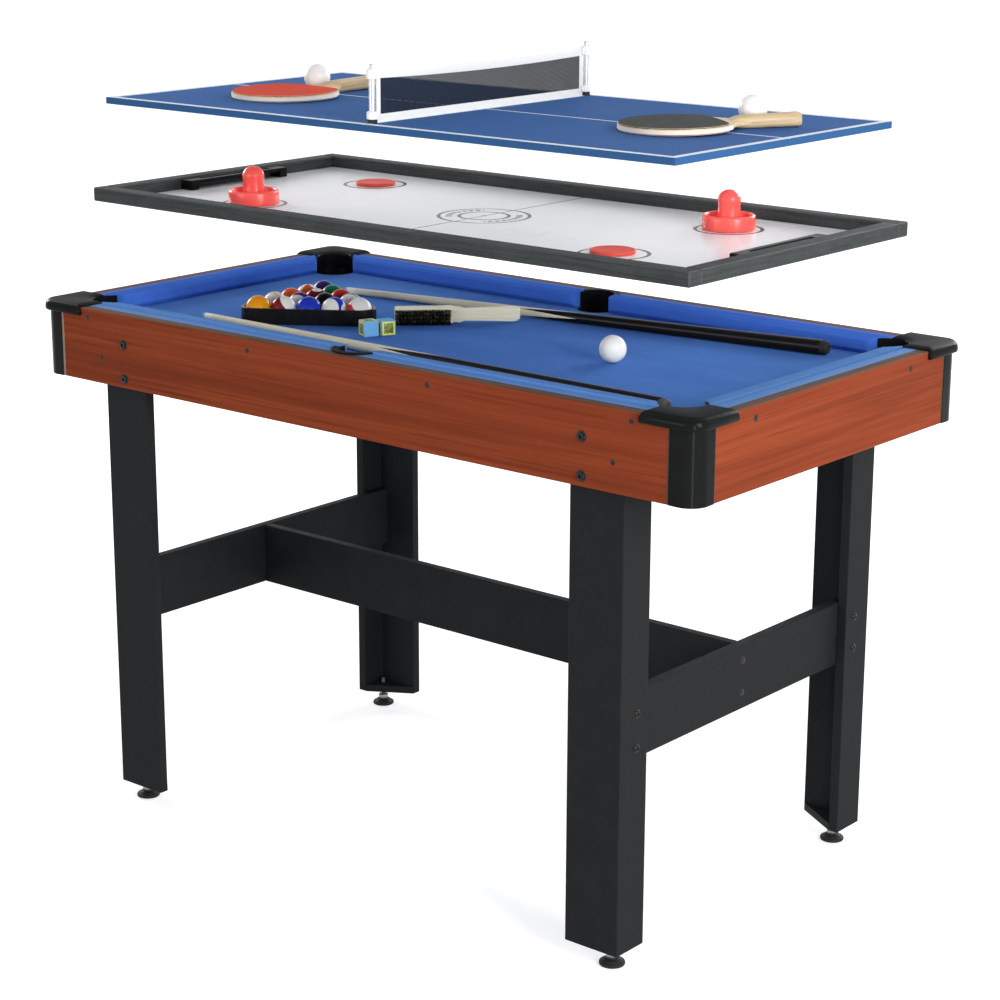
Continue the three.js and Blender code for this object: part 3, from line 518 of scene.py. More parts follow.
dress(wood_x, "front_apron", "back_apron", width=0.0014, segments=3)
dress(wood_y, "left_apron", "right_apron", width=0.0014, segments=3)
dress(bed_cloth, "playing_bed", width=0.0008)
for node in named("cushion_"):
    sheen_side = "front" in node or node == "cushion_end_right"
    dress(painted_sheen_cloth if sheen_side else cushion_cloth, node, width=0.0022, segments=4)
dress(plastic, "side_pocket_front", "side_pocket_back", width=0.0008, segments=3)
dress(leg_black, *named(("leg_", "foot_plate_", "end_stretcher_")), "centre_stretcher")


# Corner pieces, drawn with (u, v) the distances in from the table's end and side faces
CORNERS = [(f"{side}_{end}", sx, sy) for end, sx in ENDS for side, sy in SIDES]
WING, OUT, ROUND, POCKET, BORE, WALL, CUP_FLOOR = 86.0, 6.5, 26.0, 73.5, 30.0, 3.0, 705.0


def to_corner(bm, sx, sy):
    for v in bm.verts:
        v.co.x, v.co.y = sx * (HALF_L - v.co.x), sy * (HALF_W - v.co.y)


def cap_ring(inset, wider):
    """The cap's outline with its outer faces moved in by inset and its pocket's arc wider."""
    bore, nook = BORE + wider, 2.2
    end, face, middle = WING - inset, inset - OUT, ROUND - OUT
    reach = POCKET - math.sqrt(bore * bore - (end - POCKET) ** 2)
    start = math.degrees(math.atan2(end - POCKET, reach - POCKET))
    outer = arc(end - nook, face + nook, nook, 360, 270, 4)
    outer += arc(middle, middle, ROUND - inset, 270, 180, 18)
    outer += arc(face + nook, end - nook, nook, 180, 90, 4)
    return outer + arc(POCKET, POCKET, bore, start, 450 - start, 40)


def corner_piece(name, sx, sy):
    """A domed cap with two wings, the column, the pocket's cup and its wall under the cap."""
    bm = bmesh.new()
    foot = ((0, 2.4), (0.3, 1.4), (1.1, 0.5), (2.4, 0.1))
    levels = [(SKIRT_LOW + up, inset, 0) for up, inset in foot]
    low = SKIRT_LOW + 4.5
    for t in (0, 12, 24, 36, 48, 60, 72, 82, 90):
        z = low + (CAP_TOP - low) * math.sin(math.radians(t))
        inset = 0.2 + 11.5 * (1 - math.cos(math.radians(t))) ** 1.15
        levels.append((z, inset, 9 * max(0.0, (z - LIP_LOW) / (CAP_TOP - LIP_LOW)) ** 1.7))
    skin(bm, [level(cap_ring(inset, wider), z) for z, inset, wider in levels])
    column = [(40, -1)] + arc(25, 25, 26, 270, 180, 22) + [(-1, 40), (15, 40), (15, 15), (40, 15)]
    prism_into(bm, column, APRON_BOTTOM, SKIRT_LOW + 4, edge=0.7)
    outer, low = BORE + WALL, CUP_FLOOR
    lathe_into(bm, [
        (0, low - 3), (outer - 4, low - 3), (outer - 1, low - 1.5), (outer, low + 2),
        (outer, BED_TOP - 0.4), (outer - 0.5, BED_TOP), (BORE + 0.6, BED_TOP), (BORE, BED_TOP - 0.6),
        (BORE, low + 5), (BORE - 1.6, low + 1.4), (BORE - 5, low), (0, low),
    ], 56, (POCKET, POCKET, 0))
    start, end = 225 - 99, 225 + 99
    wall = arc(POCKET, POCKET, outer, start, end, 44) + arc(POCKET, POCKET, BORE, end, start, 44)
    prism_into(bm, wall, BED_TOP - 0.5, LIP_LOW + 0.4)
    to_corner(bm, sx, sy)
    finish_mesh(name + "_shape", bm, [plastic], "table", 50, stands_for=(name,))


for corner, sx, sy in CORNERS:
    corner_piece("corner_piece_" + corner, sx, sy)

# Edge banding shows beside each column, wider at the left end, where it is also painted paler as painted
# light
banding, painted_light_banding = [
    flecked(name, high, 0.6, (300.0, 3.0), low, high, Specular_IOR_Level=0.03) for name, low, high in (
        ("edge_banding", (80, 64, 54), (100, 84, 74)), ("painted_light_banding", (128, 112, 100), (150, 136, 124)))
]
COLUMN_END = 40.2
for corner, sx, sy in CORNERS:
    painted_light_end = corner.endswith("left")
    for k, wide in enumerate((4.2 if painted_light_end else 2.4, 2.0)):
        bm = bmesh.new()
        box = [(COLUMN_END, -0.25), (COLUMN_END + wide, 0.2)]
        lo, hi = box if k == 0 else [p[::-1] for p in box]
        rounded_box(bm, lo + (APRON_BOTTOM + 0.6,), hi + (SKIRT_LOW + 2,), 0.1, 1)
        to_corner(bm, sx, sy)
        finish_mesh(f"edge_band_{corner}_{k}", bm, [painted_light_banding if painted_light_end else banding], "table", 30)


# Bolts and screws
bolt_black = metal_paint("bolt_black", (16, 15, 15), 0.24, 0.3)
bolt_black.set(Specular_IOR_Level=0.3)
# painted shade: the dark rings round the heads, the socket floors and the cross slots stand for the shade
# in their recesses
painted_recess_shade = flecked("painted_recess_shade", (22, 14, 11), 0.8, (600.0,), (16, 10, 8), (34, 20, 15))
FACE = {"-Y": turned(90, "X"), "+Y": turned(-90, "X"), "+X": turned(90, "Y"), "-X": turned(-90, "Y"),
        "+Z": Matrix()}


def bolt(name, place, face, radius):
    """A domed head with a hexagon socket in a shallow ring, which stands out from face. The ring and the
    socket's floor are painted dark, as painted shade.
    """
    bm = bmesh.new()
    well = radius * 1.3
    lathe_into(bm, [(0, 0.02), (well, 0.02), (well, 0.25), (radius, 0.3), (radius, 0.1)], 32, material=1)
    socket = rise = radius * 0.42
    lathe_into(bm, [
        (radius, 0.2), (radius, 0.25 + rise * 0.35), (radius * 0.86, 0.25 + rise * 0.78),
        (radius * 0.6, 0.25 + rise), (socket * 1.1, 0.25 + rise), (socket, 0.15 + rise),
    ], 32)
    hexagon = polygon(socket, 6)
    outer, inner = polygon(socket * 1.02, 24), [hexagon[round(i / 4) % 6] for i in range(24)]
    low, high = 0.1, 0.15 + rise
    skin(bm, [level(outer, low), level(outer, high), level(inner, high), level(inner, low)], closed=True)
    prism_into(bm, hexagon, 0.05, 0.1 + rise * 0.2, 1)
    finish_mesh(name, bm, [bolt_black, painted_recess_shade], "table", 35, place, FACE[face])


def screw(name, place, face, radius=2.6, body="table"):
    """A small countersunk screw head with a cross slot. The slot is a dark raised cross, and a dark ring
    lies round the head, both painted shade.
    """
    bm = bmesh.new()
    lathe_into(bm, [(0, 0.35), (radius * 0.75, 0.35), (radius, 0.15), (radius, 0.0)], 24)
    lathe_into(bm, [(0, 0.02), (radius * 1.5, 0.02), (radius * 1.5, 0.08), (radius, 0.1)], 24, material=1)
    for a, b in ((radius * 0.6, 0.35), (0.35, radius * 0.6)):
        box_into(bm, (-a, -b, 0.3), (a, b, 0.42), 1)
    finish_mesh(name, bm, [bolt_black, painted_recess_shade], body, 35, place, FACE[face])


LEG_FACE, STRETCHER_FACE = 490.0, 474.7
for side, sy in SIDES:
    y, face = sy * HALF_W, "-Y" if sy < 0 else "+Y"
    for end, sx in ENDS:
        for spot, z in (("low", 688), ("high", 740)):
            bolt(f"apron_bolt_{side}_{end}_{spot}", (sx * 432, y, z), face, 6.2)
        for k, (x, z) in enumerate(((510, 772), (482, 714), (170, 768))):
            screw(f"apron_screw_{side}_{end}_{k}", (sx * x, y, z), face)
for side, sx in ENDS:
    face = "-X" if sx < 0 else "+X"
    for k, y in enumerate((-190, 190)):
        screw(f"end_screw_{side}_{k}", (sx * HALF_L, y, 768), face, 3.2)
    for spot, z in (("low", 316), ("high", 364)):
        for end, sy in SIDES:
            bolt(f"leg_bolt_{side}_{end}_{spot}", (sx * LEG_FACE, sy * 268, z), face, 5)
        screw(f"stretcher_screw_{side}_{spot}", (sx * STRETCHER_FACE, 0, z), face, 4)


# Levelers: a rubber pad, a nut and a threaded stem
rubber = moulded("pad_rubber", 0.55, (26, 26, 26))
zinc = metal_paint("zinc", (150, 152, 155), 0.3)
NUT_TOP, STEM_TOP = 17, 48
for name in named("leveler_"):
    bm = bmesh.new()
    lathe_into(bm, [
        (0, 0), (16.6, 0), (17.6, 0.5), (18, 1.4), (18, 3.4), (17.2, 4.6), (14.5, 5.2), (13.6, 6.6),
        (11.8, 8.2), (8.5, 9.0), (8.2, 10.4), (0, 10.4),
    ], 56)
    prism_into(bm, polygon(8.6, 6), 10.3, NUT_TOP + 0.6, 1, 0.6)
    thread = [p for z in range(NUT_TOP, STEM_TOP) for p in ((3.5, z), (3.9, z + 0.5))]
    lathe_into(bm, [(0, NUT_TOP), *thread, (0, STEM_TOP + 0.6)], 20, material=1)
    finish_mesh(name + "_pad", bm, [rubber, zinc], name, 35, centre(name)[:2] + [0], stands_for=(name,))


# Things on the bed ----------------------------------------------------------

SEAT = 762.3
BALL_R, BALL_STEP = 19.5, 38.7
ROW_STEP = BALL_STEP * math.sqrt(3) / 2


def ball_material(name, tone, stripe=False, number=True):
    """Cast resin: tone all over or as a band, with a white spot at each pole of the number's axis."""
    s = Shader(name, tone, 0.1, Specular_IOR_Level=0.12)
    cloud = s.noise(60.0, 3.0)
    color = dye = s.mix(cloud, shade(tone, 0.93), tone)
    ivory = s.mix(cloud, (238, 234, 220), (246, 243, 232))
    x, y, z = s.split()
    if stripe:
        color = s.mix(s.below(s.math("ABSOLUTE", z), 0.0107, 0.0111), ivory, dye)
    if number:
        color = s.mix(s.below(s.length(y, z), 0.0071, 0.0074), color, ivory)
    s.set(Base_Color=color, Roughness=s.step(cloud, 0.3, 0.7, 0.08, 0.14))
    return s


def ball(name, body, place, radius, material, turn=Matrix(), stands_for=()):
    bm = bmesh.new()
    bmesh.ops.create_uvsphere(bm, u_segments=48, v_segments=32, radius=radius)
    return finish_mesh(name, bm, [material], body, 180, place, turn, stands_for)


YELLOW, BLUE, RED, PURPLE = (246, 160, 24), (38, 60, 190), (214, 52, 40), (64, 40, 110)
ORANGE, GREEN, MAROON, BLACK = (236, 96, 44), (22, 122, 74), (128, 30, 32), (20, 20, 22)
PALE_YELLOW = (226, 226, 150)
# rows from the front: number, tone, striped, and which way the number and the pole of the stripe
# face, in degrees round (0 along +X, 90 along +Y) and up
RACK_ROWS = (
    ((1, YELLOW, False, (80, 20), (0, 90)), (15, MAROON, True, (-58, -14), (-10, 30)),
     (2, BLUE, False, (60, 30), (0, 90)), (10, BLUE, True, (10, 10), (-112, 8)),
     (11, RED, True, (120, 30), (-40, 18))),
    ((9, PALE_YELLOW, True, (30, 60), (-70, 30)), (12, PURPLE, True, (200, 40), (-140, 40)),
     (8, BLACK, False, (150, 50), (0, 90)), (14, GREEN, True, (60, 50), (-30, 50))),
    ((5, ORANGE, False, (100, 50), (0, 90)), (7, MAROON, False, (-30, 80), (0, 90)),
     (3, RED, False, (170, 40), (0, 90))),
    ((13, ORANGE, True, (40, 60), (-160, 50)), (6, GREEN, False, (110, 20), (0, 90))),
    ((4, PURPLE, False, (-150, 50), (0, 90)),),
)
ink = flecked("number_ink", (18, 18, 20), 0.3, (900.0,), (14, 14, 16), (30, 30, 34))


def digits(value, place, turn):
    """Printed figures, bent onto both white spots of a ball in the rack."""
    name = f"figure_{value}"
    curve = bpy.data.curves.new(name, "FONT")
    curve.body = str(value)
    curve.size = 8.2 if value < 10 else 7.2
    curve.align_x, curve.align_y = "CENTER", "CENTER"
    curve.resolution_u = 3
    holder = bpy.data.objects.new(name, curve)
    bpy.context.collection.objects.link(holder)
    bpy.context.view_layer.update()
    flat = bpy.data.meshes.new_from_object(holder.evaluated_get(bpy.context.evaluated_depsgraph_get()))
    bpy.data.objects.remove(holder)
    bm = bmesh.new()
    reach = BALL_R + 0.06
    for flip in (1, -1):
        part = bmesh.new()
        part.from_mesh(flat)
        bmesh.ops.triangulate(part, faces=part.faces)
        made = {}
        for v in part.verts:
            y, z = v.co.x, v.co.y
            made[v] = bm.verts.new((flip * math.sqrt(reach * reach - y * y - z * z), flip * y, z))
        for f in part.faces:
            bm.faces.new([made[v] for v in f.verts])
        part.free()
    bpy.data.meshes.remove(flat)
    finish_mesh(name, bm, [ink], "rack_set", 0, place, turn)


def aim(azimuth, elevation):
    a, e = math.radians(azimuth), math.radians(elevation)
    return Vector((math.cos(e) * math.cos(a), math.cos(e) * math.sin(a), math.sin(e)))


def spin_to(spot, pole):
    """Turns a ball so that its number faces along spot and its stripe's pole lies nearest to pole."""
    x = spot.normalized()
    z = (pole - x * pole.dot(x)).normalized()
    return Matrix((x, z.cross(x), z)).transposed().to_4x4()


# the middle of the front row stands as far from the rack's low corner as the turned rack needs
RACK_COS, RACK_SIN = math.cos(math.radians(34)), math.sin(math.radians(34))
lo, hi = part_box("rack_triangle")
margin = BALL_R + 6.2
rack_x = lo[0] / MM + margin + max(4 * ROW_STEP * RACK_SIN, 2 * BALL_STEP * RACK_COS)
rack_y = lo[1] / MM + margin + 2 * BALL_STEP * RACK_SIN
for row, line in enumerate(RACK_ROWS):
    for i, (value, tone, striped, number_to, pole_to) in enumerate(line):
        name = f"ball_{value}"
        spin = spin_to(aim(*number_to), aim(*pole_to))
        u, v = (i - (4 - row) / 2) * BALL_STEP, row * ROW_STEP
        place = (rack_x + u * RACK_COS - v * RACK_SIN, rack_y + u * RACK_SIN + v * RACK_COS,
                 SEAT + BALL_R)
        obj = ball(name, "rack_set", place, BALL_R, ball_material(name, tone, striped), spin)
        if value == 1:
            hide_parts("racked_balls")
        digits(value, place, spin)

dress(moulded("rack_black", 0.28, (16, 16, 17)), "rack_triangle", segments=3, angle=24)
ball("cue_ball_shape", "cue_ball", centre("cue_ball"), BALL_R,
     ball_material("cue_ball_resin", (252, 250, 240), number=False), stands_for=("cue_ball",))


# Cues, drawn from the tip along +Z
def cue_material(name, black_from, spear):
    """Maple that turns black from black_from on, in four points that are spear long."""
    s = Shader(name, (224, 214, 184), 0.35, Specular_IOR_Level=0.16)
    grain = s.noise((500.0, 500.0, 6.0), 4.0, 0.6, 0.3)
    maple = s.ramp(grain, (0.3, (212, 200, 164)), (0.5, (228, 219, 188)), (0.72, (240, 233, 206)))
    x, y, z = s.split()
    turn = s.math("MULTIPLY", s.math("ARCTAN2", y, x), 4 / (2 * math.pi))
    zig = s.math("ABSOLUTE", s.math("SUBTRACT", s.math("FRACT", turn), 0.5))
    past = s.math("SUBTRACT", s.math("SUBTRACT", z, black_from), s.math("MULTIPLY", zig, 2 * spear))
    stain = s.mix(grain, (12, 11, 10), (26, 21, 18))
    color = s.mix(s.step(past, 0.0, 0.0008), maple, stain)
    color = s.mix(s.below(z, 0.022, 0.0225), color, (240, 238, 228))
    color = s.mix(s.below(z, 0.0062, 0.0066), color, (150, 172, 196))
    s.set(Base_Color=color, Roughness=s.step(z, 0.006, 0.008, 0.9, 0.3),
          Normal=s.bump(grain, 0.05, 0.0003))
    return s


def cue(name, tip, end, black_from, spear, cap):
    tip, end = Vector(tip), Vector(end)
    length = (end - tip).length
    steps = 24
    taper = [6.4, 6.5, 22.2, 22.4] + [30 + (length - 30 - 46) * i / steps for i in range(steps + 1)]
    joint = length - 10.4
    bm = bmesh.new()
    lathe_into(bm, [
        (0, 0), (3.0, 0.15), (4.4, 0.9), (5.0, 2.4),
        *[(5 + 6 * min(1.0, z / (length - 8)), z) for z in taper],
        (11.0, length - 40), (11.0, length - 12), (10.6, length - 11.4), (10.6, joint), (0, joint),
    ], 40)
    lathe_into(bm, [
        (0, joint), (10.2, joint), (10.2, length - 6), (9.6, length - 2), (8.4, length - 0.5),
        (6.0, length), (4.2, length - 0.4), (3.4, length - 1.8), (0, length - 1.8),
    ], 40, material=1)
    turn = (end - tip).to_track_quat("Z", "Y").to_matrix().to_4x4()
    finish = cue_material(name + "_finish", black_from, spear)
    finish_mesh(name + "_shape", bm, [finish, cap], name, 30, tip, turn, (name,))


cue_rubber = moulded("cue_rubber", 0.5, (40, 39, 38), 0.05)
cue_cap = moulded("cue_cap", 0.35, (74, 72, 70), 0.1)
cue("cue_back", (-387.1, 113.6, SEAT + 5), (461.2, 212.4, SEAT + 11), 0.335, 0.105, cue_rubber)
cue("cue_front", (-405.8, -179.4, SEAT + 5), (501.0, -230.9, SEAT + 11), 0.385, 0.12, cue_cap)


# Table brush, drawn with its head from 0 to 88 along +X and the bristles toward -Y
def strand(bm, a, b, r):
    """A thin three-sided rod from a to b."""
    a, b = Vector(a), Vector(b)
    d = (b - a).normalized()
    u = d.orthogonal().normalized()
    v = d.cross(u)
    turns = [math.radians(120 * k) for k in range(3)]
    corners = [u * math.cos(t) + v * math.sin(t) for t in turns]
    skin(bm, [[p + corner * w for corner in corners] for p, w in ((a, r), (b, r * 0.6))])


def brush():
    degrees = 44
    turn = turned(degrees, "Z")
    lo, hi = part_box("brush_handle")
    at = (lo[0] / MM + 10 * math.sin(math.radians(degrees)), lo[1] / MM, SEAT)
    s = Shader("brush_wood", (240, 232, 200), 0.45, Specular_IOR_Level=0.15)
    grain = s.noise((12.0, 260.0, 260.0), 4.0, 0.6, 0.4)
    color = s.ramp(grain, (0.3, (236, 226, 186)), (0.55, (246, 240, 208)), (0.75, (251, 247, 224)))
    s.set(Base_Color=color, Normal=s.bump(grain, 0.08, 0.0004))
    top = [(0.5, 2), (2, 0), (86, 0), (90, 0.6), (97, 3.4), (106, 4.2), (150, 3.2), (180, 2.0),
           (186, 2.6), (189.5, 5), (190, 8)]
    bm = bmesh.new()
    prism_into(bm, top + [(x, 26 - z) for x, z in top[::-1]], 0, 10, edge=2.2, segments=3)
    for v in bm.verts:
        v.co.y, v.co.z = v.co.z, v.co.y
    finish_mesh("brush_body", bm, [s], "brush", 40, at, turn, ("brush_handle",))
    hair = flecked("horsehair", (10, 10, 10), 0.75, (800.0, 3.0), (7, 7, 7), (20, 20, 19),
                   Specular_IOR_Level=0.12)
    bm = bmesh.new()
    columns, rows, hairs = 17, 4, 44
    for c in range(columns):
        for r in range(rows):
            x, z = 0.5 + 85 * (c + 0.5) / columns, -0.4 + 22.0 * (r + 0.5) / rows
            for _ in range(hairs):
                angle, out = random.uniform(0, 2 * math.pi), math.sqrt(random.random())
                dx, dz = out * 2.3 * math.cos(angle), out * 2.6 * math.sin(angle)
                spread = random.uniform(1.15, 1.5)
                tip = -16.3 + 1.1 * out * out + random.uniform(0, 0.8)
                strand(bm, (x + dx, 0.4, z + dz), (x + dx * spread, tip, z + dz * spread * 0.95), 0.2)
    finish_mesh("brush_tufts", bm, [hair], "brush", 40, at, turn, ("brush_bristles",))


brush()

# Chalk: one worn blue face and bare bordered labels on the other sides
CHALK_HALF = 11.5
chalk_blue = flecked("chalk_face", (112, 184, 232), 0.95, (700.0, 5.0, 0.7), (96, 170, 224),
                     (140, 204, 244), (0.5, 0.0008))


def label_material():
    """Yellow paper: the middle one of a place's three distances says how near it lies to a rim."""
    s = Shader("chalk_label", (236, 224, 64), 0.4)
    x, y, z = (s.math("ABSOLUTE", p) for p in s.split())
    order = s.math("MAXIMUM", s.math("MINIMUM", x, y), s.math("MINIMUM", s.math("MAXIMUM", x, y), z))
    rim, inner = s.step(order, 0.0098, 0.0100), s.step(order, 0.0074, 0.0076)
    paper = s.mix(s.step(s.noise(420.0, 3.0), 0.42, 0.58), (70, 78, 22), (166, 182, 66))
    s.set(Base_Color=s.mix(rim, s.mix(inner, paper, (244, 238, 92)), (96, 160, 196)))
    return s


label = label_material()


def chalk(name, turn):
    """A cube drawn about its middle, with the worn face toward +Z before its turn."""
    half = CHALK_HALF
    at = centre(name)[:2] + [SEAT + half]
    bm = bmesh.new()
    rounded_box(bm, (-half, -half, -half), (half, half, half - 0.4), 0.9, 3)
    for f in bm.faces:
        f.material_index = 0 if f.calc_center_median().z > half - 1.0 else 1
    finish_mesh(name + "_cube", bm, [chalk_blue, label], name, 40, at, turn, (name,))
    bm = bmesh.new()
    lathe_into(bm, [
        (0, -1.8), (3.4, -1.5), (5.8, -0.7), (7.4, 0.3), (8.4, 0.4), (10.2, 0.02), (10.2, -0.3),
        (0, -2.1),
    ], 40, (0, 0, half - 0.4))
    finish_mesh(name + "_face", bm, [chalk_blue], name, 60, at, turn)


chalk("chalk_front", turned(65, "Z") @ turned(90, "X"))
chalk("chalk_back", turned(65, "Z"))


# Hockey board ---------------------------------------------------------------

HOCKEY_SEAT, FRAME_TOP = 940.3, 958
UNDERSIDE = (240, 240, 238)


def rail_grey():
    """Streaked dark grey boards, lighter on their rounded edges."""
    s = black_board("rail_grey", 3.7)
    streak = s.noise((9.0, 9.0, 260.0), 4.0, 0.65)
    tone = s.mix(s.step(streak, 0.42, 0.7, 0.0, 0.55), s.color, (42, 45, 43))
    s.set(Base_Color=s.mix(s.math("MULTIPLY", s.edge(), 0.25), tone, (104, 108, 104)))
    return s


def ice():
    """The white playing surface with its printed rings and lines."""
    s = Shader("ice", (226, 230, 236), 0.3, Specular_IOR_Level=0.2)
    x, y, z = s.split()
    cloud = s.noise(3.0, 3.0)
    color = s.mix(cloud, (236, 238, 242), (243, 245, 248))
    color = s.mix(s.band(x, 0.0, 0.0016, 0.0004), color, (132, 128, 136))
    middle = s.length(x, y)
    for r in (0.0365, 0.0665):
        color = s.mix(s.band(middle, r, 0.0026, 0.0004), color, (22, 24, 28))
    color = s.mix(s.below(middle, 0.004, 0.0044), color, (34, 36, 40))
    for cy in (-0.134, 0.134):
        spot = s.length(s.math("SUBTRACT", s.math("ABSOLUTE", x), 0.338), s.math("SUBTRACT", y, cy))
        color = s.mix(s.band(spot, 0.0475, 0.0026, 0.0004), color, (22, 26, 30))
    # rows of bare blocks stand where the real board is printed between the rings
    angle = s.math("ARCTAN2", y, x)
    block = s.math("FRACT", s.math("MULTIPLY", angle, 30 / (2 * math.pi)))
    blocks = s.math("MULTIPLY", s.band(middle, 0.0515, 0.0045, 0.0004), s.step(block, 0.3, 0.34))
    side = s.below(s.math("ABSOLUTE", s.math("SINE", angle)), 0.75, 0.78)
    color = s.mix(s.math("MULTIPLY", blocks, side), color, (60, 62, 66))
    s.set(Base_Color=s.mix(s.below(s.normal()[2], -0.5, 0.0), color, UNDERSIDE),
          Roughness=s.step(cloud, 0.2, 0.8, 0.2, 0.3))
    return s


dress(rail_grey(), *named("hockey_rail_"), width=0.0026, segments=4)
dress(ice(), "hockey_surface", width=0.0004)
dress(moulded("gloss_plastic", 0.3, (16, 16, 17), 0.06), "goal_left", "goal_right", segments=3)
for side, sx in ENDS:
    for end, sy in SIDES:
        for k, (x, y) in enumerate(((540, 249.5), (527, 249.5), (540, 238))):
            place = (sx * x, sy * y, FRAME_TOP)
            screw(f"frame_screw_{side}_{end}_{k}", place, "+Z", 2.3, "hockey_board")

red = Shader("red_plastic", (255, 92, 84), 0.22, Specular_IOR_Level=0.35)
cloud = red.noise(45.0, 3.0)
red.set(Base_Color=red.mix(cloud, (255, 84, 78), (255, 98, 92)),
        Roughness=red.step(cloud, 0.3, 0.7, 0.18, 0.28),
        Normal=red.bump(red.noise(240.0, 3.0), 0.05, 0.0004))
puck_red = flecked("puck_red", (224, 84, 72), 0.5, (400.0, 3.0), (218, 76, 66), (230, 92, 80),
                   (0.1, 0.0004), Specular_IOR_Level=0.1)
KNOB_R, KNOB_LOW, KNOB_RISE = 16.4, 41.5, 14.5
dome = [math.radians(a) for a in range(8, 90, 8)]
PUSHER = [
    (0, 1.2), (33.5, 1.2), (34.2, 0.2), (36.6, 0.2), (37.6, 0.8), (38, 2.0), (37.9, 6.0), (37.6, 17.6),
    (37.0, 20.0), (35.8, 21.0), (34.4, 21.0), (33.2, 20.2), (32.6, 18.4), (32.4, 11.0), (31.4, 9.0),
    (29.0, 8.2), (22.5, 8.2), (20.0, 8.9), (18.2, 10.6), (17.3, 13.2), (16.7, 17.5), (16.0, 26.0),
    (15.8, 33.0), (16.1, 38.5), (KNOB_R, KNOB_LOW),
    *[(KNOB_R * math.cos(a), KNOB_LOW + KNOB_RISE * math.sin(a)) for a in dome],
    (0, KNOB_LOW + KNOB_RISE),
]
PUCK = [
    (0, 0), (29.4, 0), (30.5, 0.4), (31, 1.2), (31, 3.8), (30.5, 4.6), (29.4, 5), (27.6, 5), (26.9, 4.6),
    (25.8, 4.5), (0, 4.5),
]
for side, _ in ENDS:
    for kind, profile, material in (("pusher", PUSHER, red), ("puck", PUCK, puck_red)):
        name = f"{kind}_{side}"
        bm = bmesh.new()
        lathe_into(bm, profile, 72)
        finish_mesh(name + "_shape", bm, [material], name, 50, centre(name)[:2] + [HOCKEY_SEAT],
                    stands_for=(name,))


# Tennis board ---------------------------------------------------------------

TENNIS_SEAT = 1095.3
TENNIS_X, TENNIS_Y = 0.5225, 0.256


def tennis_blue():
    """Blue paint with white lines on top, blue edging round it and a white underside."""
    s = Shader("tennis_blue", (66, 106, 166), 0.6, Specular_IOR_Level=0.01)
    x, y, z = s.split()
    nz = s.normal()[2]
    fine, cloud = s.noise(700.0, 3.0, 0.7), s.noise(5.0, 3.0)
    paint = s.mix(cloud, (56, 94, 152), (66, 106, 166))
    paint = s.mix(s.step(fine, 0.4, 0.7, 0.0, 0.12), paint, (78, 118, 178))
    white = s.mix(fine, (224, 232, 240), (242, 246, 250))
    edging = s.mix(fine, (46, 84, 132), (62, 102, 150))
    inset = [s.math("SUBTRACT", half, s.math("ABSOLUTE", v))
             for half, v in ((TENNIS_X, x), (TENNIS_Y, y))]
    lines = s.band(s.math("MINIMUM", *inset), 0.0068, 0.0056)
    for v, half in ((y, 0.0022), (x, 0.004)):
        lines = s.math("MAXIMUM", lines, s.band(v, 0.0, half))
    lines = s.math("MULTIPLY", lines, s.step(nz, 0.7, 0.9))
    color = s.mix(s.step(nz, 0.55, 0.8), edging, paint)
    color = s.mix(s.below(nz, -0.8, -0.4), color, UNDERSIDE)
    s.set(Base_Color=s.mix(lines, color, white), Roughness=s.step(cloud, 0.3, 0.7, 0.5, 0.6),
          Normal=s.bump(fine, 0.12, 0.0003))
    return s


dress(tennis_blue(), "tennis_board", width=0.0008, segments=3)

POST = [
    metal_paint("post_grey", (206, 208, 210), 0.32, 0.6),
    moulded("clip_white", 0.35, (240, 240, 238)),
    moulded("foot_dark", 0.4, (40, 40, 42)),
]
for side, sy in SIDES:
    bm = bmesh.new()
    lathe_into(bm, [(0, 0), (6.6, 0), (7, 0.4), (7, 4.6), (5, 5.4), (0, 5.4)], 40, material=2)
    lathe_into(bm, [(0, 2), (4.4, 2), (4.5, 78.4), (4.1, 79.4), (3, 80), (0, 80)], 40)
    for z0, z1 in ((5.4, 15.4), (60, 73)):
        clip = [(4.3, z0), (7.2, z0), (7.9, z0 + 0.7), (7.9, z1 - 0.7), (7.2, z1), (4.3, z1)]
        lathe_into(bm, clip, 40, material=1)
        middle = -sy * 7.5
        rounded_box(bm, (-2.2, middle - 4.5, z0 + 1), (2.2, middle + 4.5, z1 - 1), 0.7, material=1)
    finish_mesh(f"net_post_{side}_shape", bm, POST, "net_set", 35, (0, sy * 237, TENNIS_SEAT),
                stands_for=(f"net_post_{side}",))


def ribbon(bm, line, half_height, half_depth, round_by=0.0):
    """A flat band along (y, z) points, standing on edge."""
    section = []
    for sx, sz, start in ((1, -1, 270), (1, 1, 0), (-1, 1, 90), (-1, -1, 180)):
        for x, z in arc(0, 0, round_by, start, start + 90, 2) if round_by else [(0, 0)]:
            section.append((sx * (half_depth - round_by) + x, sz * (half_height - round_by) + z))
    skin(bm, [[(x, y, z + up) for x, up in section] for y, z in line])


